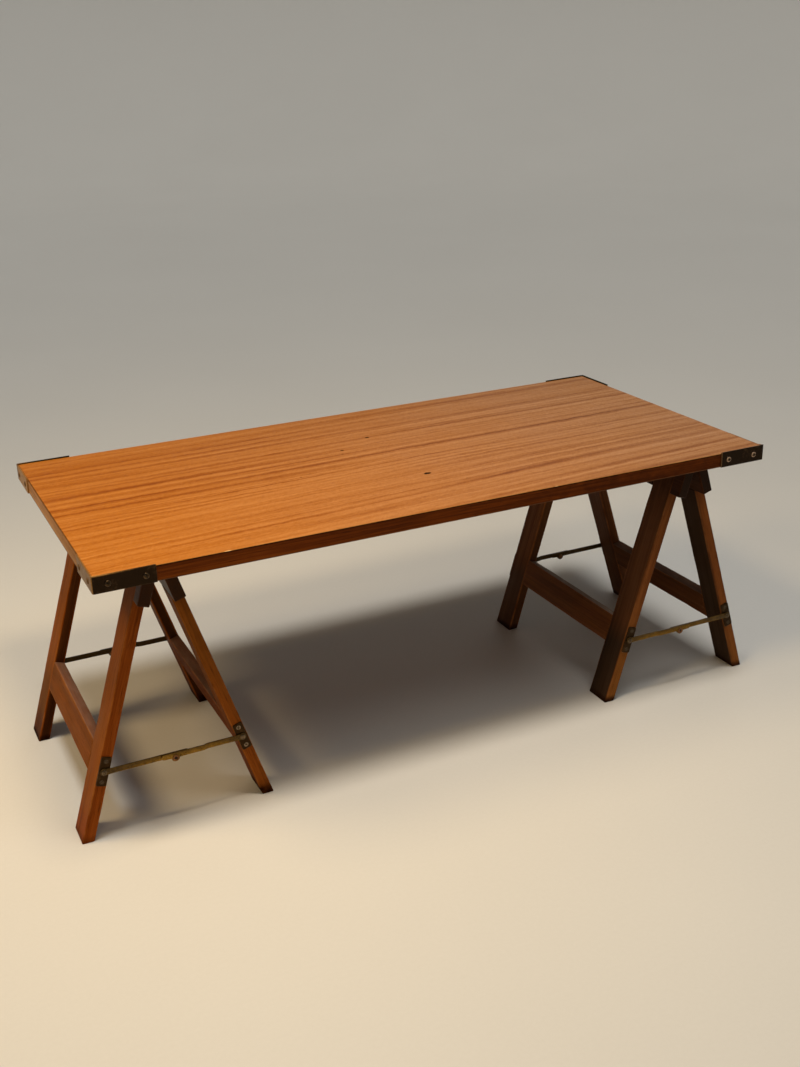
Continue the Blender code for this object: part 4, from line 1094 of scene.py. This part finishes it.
def build_stay(trestle, side, end, e, leaves, rng):
    for leaf, s in leaves:
        tag = "%s_%s_stay_%s" % (trestle, end, leaf)
        body = "%s_%s_leaf" % (trestle, leaf)
        m = leaf_matrix(trestle, side, s)
        centre = m @ Vector((s * X_MID, 0.0, PIVOT_Z))

        # plate on the leg's narrow face
        bm = new_bm()
        w, l = PLATE_W / 2, PLATE_L / 2
        corners = [(X_MID - w, PIVOT_Z - l), (X_MID + w, PIVOT_Z - l), (X_MID + w, PIVOT_Z + l),
                   (X_MID - w, PIVOT_Z + l)]
        thick = PLATE_HI - HALF - 0.00004
        places = [(0.0, 0.0, 0.2), (thick - 0.0005, 0.0, 0.6), (thick - 0.00015, 0.00015, 1.0),
                  (thick, 0.0005, 0.8)]
        loft(bm, corners, 0.0026, places, lambda a, b, t: (s * a, e * (HALF + 0.00004 + t), b), seg=5,
             pad=0.002, cap=0, inner=0.0016)
        piece("%s_plate_strip" % tag, bm, ["plate"], body, "%s_plate" % tag, m)
        for k, d in enumerate((-PLATE_HOLES, PLATE_HOLES)):
            # let in flush, so that the link can swing over them
            pos = m @ Vector((s * X_MID, e * (PLATE_HI - 0.00027), PIVOT_Z + d))
            # the screws are darkened on the right trestle and on the left outer leaf, and get a painted rim highlight
            # on the left inner leaf
            bm = slotted_head(0.0036, 0.0002, 0.0009, 0.0004, flat=0.0033, sides=24,
                              dirt_and_shade=0.55 if trestle == "right" else 0.52 if leaf == "outer" else 0.0,
                              rim=0.45 if (trestle, leaf) == ("left", "inner") else 0.0)
            piece("%s_plate_screw_%d" % (tag, k + 1), bm, ["plate_screw"], body, None,
                  face_matrix(pos, (0.0, e, 0.0), rng.uniform(0.0, 3.1)))
        # riveted stud that carries the link
        bm = new_bm()
        y1 = LINK_HI + GAP * 0.6 - PLATE_HI
        top = STUD_HEAD_T + y1
        turned(bm, [(0.0, -0.0003), (STUD_R, -0.0003), (STUD_R, y1), (STUD_HEAD_R * 0.97, y1, 0.5, 0.4),
                    (STUD_HEAD_R, y1 + 0.0002, 0.8), (STUD_HEAD_R, y1 + 0.0004, 0.9),
                    (STUD_HEAD_R * 0.92, y1 + 0.00075, 0.9), (STUD_HEAD_R * 0.74, y1 + 0.0010, 0.7),
                    (STUD_HEAD_R * 0.45, top - 0.0001, 0.6), (0.0, top, 0.6)], 28)
        pos = m @ Vector((s * X_MID, e * PLATE_HI, PIVOT_Z))
        piece("%s_stud" % tag, bm, ["plate_screw"], body, None, face_matrix(pos, (0.0, e, 0.0), 0.2))

        # link, drawn level, hung on its leg pivot
        link_body = "%s_link_body" % tag
        bm = new_bm()
        # painted shade: the back stays are darkened all over
        slab(bm, link_outline(), LINK_LO, LINK_HI, 0.00035, 0.0 if end == "front" else 0.72)
        if leaf == "inner":
            for x in (0.055, 0.05725, 0.0595, 0.06175, 0.064):
                bmesh.ops.bisect_plane(bm, geom=bm.verts[:] + bm.edges[:] + bm.faces[:], dist=1e-6,
                                       plane_co=(x, 0.0, 0.0), plane_no=(1.0, 0.0, 0.0))
            for v in bm.verts:
                k = min(1.0, max(0.0, (v.co.x - LINK_STEP[0]) / (LINK_STEP[1] - LINK_STEP[0])))
                v.co.y += STEP * k * k * (3.0 - 2.0 * k)
        bmesh.ops.scale(bm, vec=(-s, e, 1.0), verts=bm.verts[:])
        lm = Matrix.Translation((centre.x, TRESTLE_Y[trestle], centre.z))
        piece("%s_link_bar" % tag, bm, ["stay"], link_body, "%s_link" % tag, lm)
        hub = lm @ Vector((-s * PIVOT_X, 0.0, -STAY_SAG))
        if leaf == "inner":
            bm = new_bm()
            r0, r1, h = EYELET_BORE, EYELET_R, EYELET_H
            prof = [(0.0, -0.0002), (r1 * 0.96, -0.0002, 0.2, 0.4)]
            for k in range(9):
                a = math.pi * k / 8.0
                prof.append(((r0 + r1) / 2 + (r1 - r0) / 2 * math.cos(a), h * (0.30 + 0.70 * math.sin(a)),
                             0.4 + 0.5 * math.sin(a)))
            # painted shade: the shallow middle is darkened to read as the bore
            prof += [(r0 * 0.96, 0.0003, 0.0, 0.7), (0.0, 0.00022, 0.0, 1.0)]
            turned(bm, prof, 32)
            pos = Vector((hub.x, TRESTLE_Y[trestle] + e * (LINK_HI + STEP), hub.z))
            piece("%s_eyelet" % tag, bm, ["eyelet"], link_body, None, face_matrix(pos, (0.0, e, 0.0), 0.0))
        else:
            bm = new_bm()
            back = LINK_LO - GAP * 0.6
            turned(bm, [(0.0, -RIVET_HEAD_T), (RIVET_HEAD_R * 0.55, -RIVET_HEAD_T, 0.6),
                        (RIVET_HEAD_R * 0.85, -RIVET_HEAD_T * 0.8, 0.8), (RIVET_HEAD_R, -RIVET_HEAD_T * 0.35, 0.9),
                        (RIVET_HEAD_R, 0.0, 0.3), (RIVET_R, 0.0), (RIVET_R, LINK_HI - back), (0.0, LINK_HI - back)],
                   28)
            pos = Vector((hub.x, TRESTLE_Y[trestle] + e * back, hub.z))
            piece("%s_%s_stay_rivet_tail" % (trestle, end), bm, ["eyelet"], link_body,
                  "%s_%s_stay_rivet" % (trestle, end), face_matrix(pos, (0.0, e, 0.0), 0.0))


# ------------------------------------------------------------------ ridge hinge screws
def build_hinge_screws(trestle, side, end, y_mid, leaves, rng):
    for leaf, s in leaves:
        m = leaf_matrix(trestle, side, s)
        for k, dy in enumerate((-0.018, 0.018)):
            pos = m @ Vector((s * (X_IN - GAP - HINGE_T), y_mid + dy, -HINGE_W * 0.62))
            normal = (m.to_3x3() @ Vector((-s, 0.0, 0.0)))
            bm = slotted_head(0.0032, 0.00045, 0.0008, 0.0004, under=0.0003, flat=0.0022, sides=24)
            piece("%s_%s_hinge_%s_screw_%d" % (trestle, end, leaf, k + 1), bm, ["hinge"],
                  "%s_%s_leaf" % (trestle, leaf), None, face_matrix(pos, normal, rng.uniform(0.0, 3.1)))


# ------------------------------------------------------------------ assembly
build_top()
for trestle, side in (("left", -1), ("right", 1)):
    rng = random.Random(11 if trestle == "left" else 29)
    leaves = (("outer", side), ("inner", -side))
    for leaf, s in leaves:
        build_leaf(trestle, leaf, side, s, rng)
    for end, e in (("front", -1), ("back", 1)):
        build_stay(trestle, side, end, e, leaves, rng)
        build_hinge_screws(trestle, side, end, e * HINGE_Y, leaves, rng)

# carried-over nodes that keep their shape
for name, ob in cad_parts.items():
    kind = ("core" if name == "top_panel_core" else "backing" if name == "top_backing_veneer"
            else "hinge" if "_hinge_" in name else None)
    if kind:
        ob.data.materials.clear()
        ob.data.materials.append(MAT[kind])


# ------------------------------------------------------------------ floor, light, camera
def build_stage():
    # a wide pale floor that sweeps up far away, the same on every side
    bm = bmesh.new()
    sides = 96
    profile = [(2.5, 0.0), (5.0, 0.0), (8.0, 0.0)]
    profile += [(8.0 + 5.0 * math.sin(math.radians(6.0 * k)), 5.0 * (1.0 - math.cos(math.radians(6.0 * k))))
                for k in range(1, 15)]
    middle = bm.verts.new((0.0, 0.0, 0.0))
    rings = [[bm.verts.new((r * math.cos(2 * math.pi * i / sides), r * math.sin(2 * math.pi * i / sides), z))
              for i in range(sides)] for r, z in profile]
    for i in range(sides):
        j = (i + 1) % sides
        bm.faces.new((middle, rings[0][i], rings[0][j]))
        for r0, r1 in zip(rings, rings[1:]):
            bm.faces.new((r0[i], r1[i], r1[j], r0[j]))
    mesh = bpy.data.meshes.new("floor")
    bm.to_mesh(mesh)
    bm.free()
    mesh.shade_smooth()
    s = Shader("pale_floor")
    p = s.coords()
    cloud = s.noise(p, (1.3, 1.3, 1.3), 3.0, 0.5)
    grit = s.noise(p, (160.0, 160.0, 160.0), 3.0, 0.6)
    tone = s.math("ADD", s.math("MULTIPLY", cloud, 0.5), s.math("MULTIPLY", grit, 0.5))
    s.set(Base_Color=s.ramp(tone, [(0.3, (0.745, 0.705, 0.640)), (0.7, (0.775, 0.735, 0.670))]))
    s.set(Roughness=s.span(cloud, 0.3, 0.7, 0.58, 0.66), Normal=s.bump(grit, 0.06, 0.001))
    s.set(Specular_IOR_Level=0.3)
    mesh.materials.append(s.mat)
    floor = bpy.data.objects.new("floor", mesh)
    SCENE.collection.objects.link(floor)

    # even dim surroundings with one pale side, right of the back, for the gloss on the top
    world = bpy.data.worlds.new("studio")
    SCENE.world = world
    world.use_nodes = True
    nt = world.node_tree
    nt.nodes.clear()
    out = nt.nodes.new("ShaderNodeOutputWorld")
    bg = nt.nodes.new("ShaderNodeBackground")
    co = nt.nodes.new("ShaderNodeTexCoord")
    dot = nt.nodes.new("ShaderNodeVectorMath")
    dot.operation = "DOT_PRODUCT"
    dot.inputs[1].default_value = Vector((0.66, 0.66, 0.36)).normalized()
    ramp = nt.nodes.new("ShaderNodeValToRGB")
    nt.links.new(co.outputs["Generated"], dot.inputs[0])
    nt.links.new(dot.outputs["Value"], ramp.inputs[0])
    nt.links.new(ramp.outputs[0], bg.inputs[0])
    nt.links.new(bg.outputs[0], out.inputs[0])
    ramp.color_ramp.interpolation = "EASE"
    el = ramp.color_ramp.elements
    el[0].position, el[0].color = 0.90, (0.057, 0.054, 0.049, 1.0)
    el[1].position, el[1].color = 1.00, (0.66, 0.65, 0.64, 1.0)
    bg.inputs[1].default_value = 1.0

    def lamp(name, kind, energy, colour, position, target, **props):
        data = bpy.data.lights.new(name, kind)
        data.energy = energy
        data.color = colour
        for k, v in props.items():
            setattr(data, k, v)
        ob = bpy.data.objects.new(name, data)
        d = Vector(target) - Vector(position)
        ob.matrix_world = Matrix.Translation(position) @ d.to_track_quat("-Z", "Y").to_matrix().to_4x4()
        ob.visible_camera = False
        SCENE.collection.objects.link(ob)

    lamp("key", "AREA", 8.4, (1.0, 0.755, 0.42), (-0.36, -0.41, 1.53), (-0.28, -0.22, 0.4), shape="DISK", size=0.32)
    lamp("left_fill", "AREA", 13.0, (1.0, 0.745, 0.40), (-1.45, 0.10, 1.75), (-0.45, 0.0, 0.40), shape="DISK",
         size=0.6)
    lamp("overall", "SUN", 1.15, (0.98, 1.0, 1.0), (-0.15, -0.28, 3.0), (0.0, 0.0, 0.0),
         angle=math.radians(12.0))
    lamp("front", "AREA", 4.0, (0.99, 1.0, 0.99), (0.35, -0.90, 1.90), (0.25, 0.0, 0.40), shape="DISK", size=0.7)

    cam = bpy.data.cameras.new("camera")
    cam.sensor_fit = "HORIZONTAL"
    cam.sensor_width = 36.0
    cam.lens = 1251.493 / 800.0 * 36.0
    cam.clip_start, cam.clip_end = 0.02, 200.0
    ob = bpy.data.objects.new("camera", cam)
    forward = Vector((0.39808912, 0.8398914, -0.36892749)).normalized()
    up = Vector((0.18241152, 0.32166185, 0.92911769))
    up = (up - forward * up.dot(forward)).normalized()
    right = forward.cross(up)
    m = Matrix((right, up, -forward)).transposed().to_4x4()
    m.translation = Vector((-0.847414, -1.850186, 1.109418))
    ob.matrix_world = m
    SCENE.collection.objects.link(ob)
    SCENE.camera = ob
    SCENE.view_settings.view_transform = "Standard"
    SCENE.view_settings.look = "None"


build_stage()
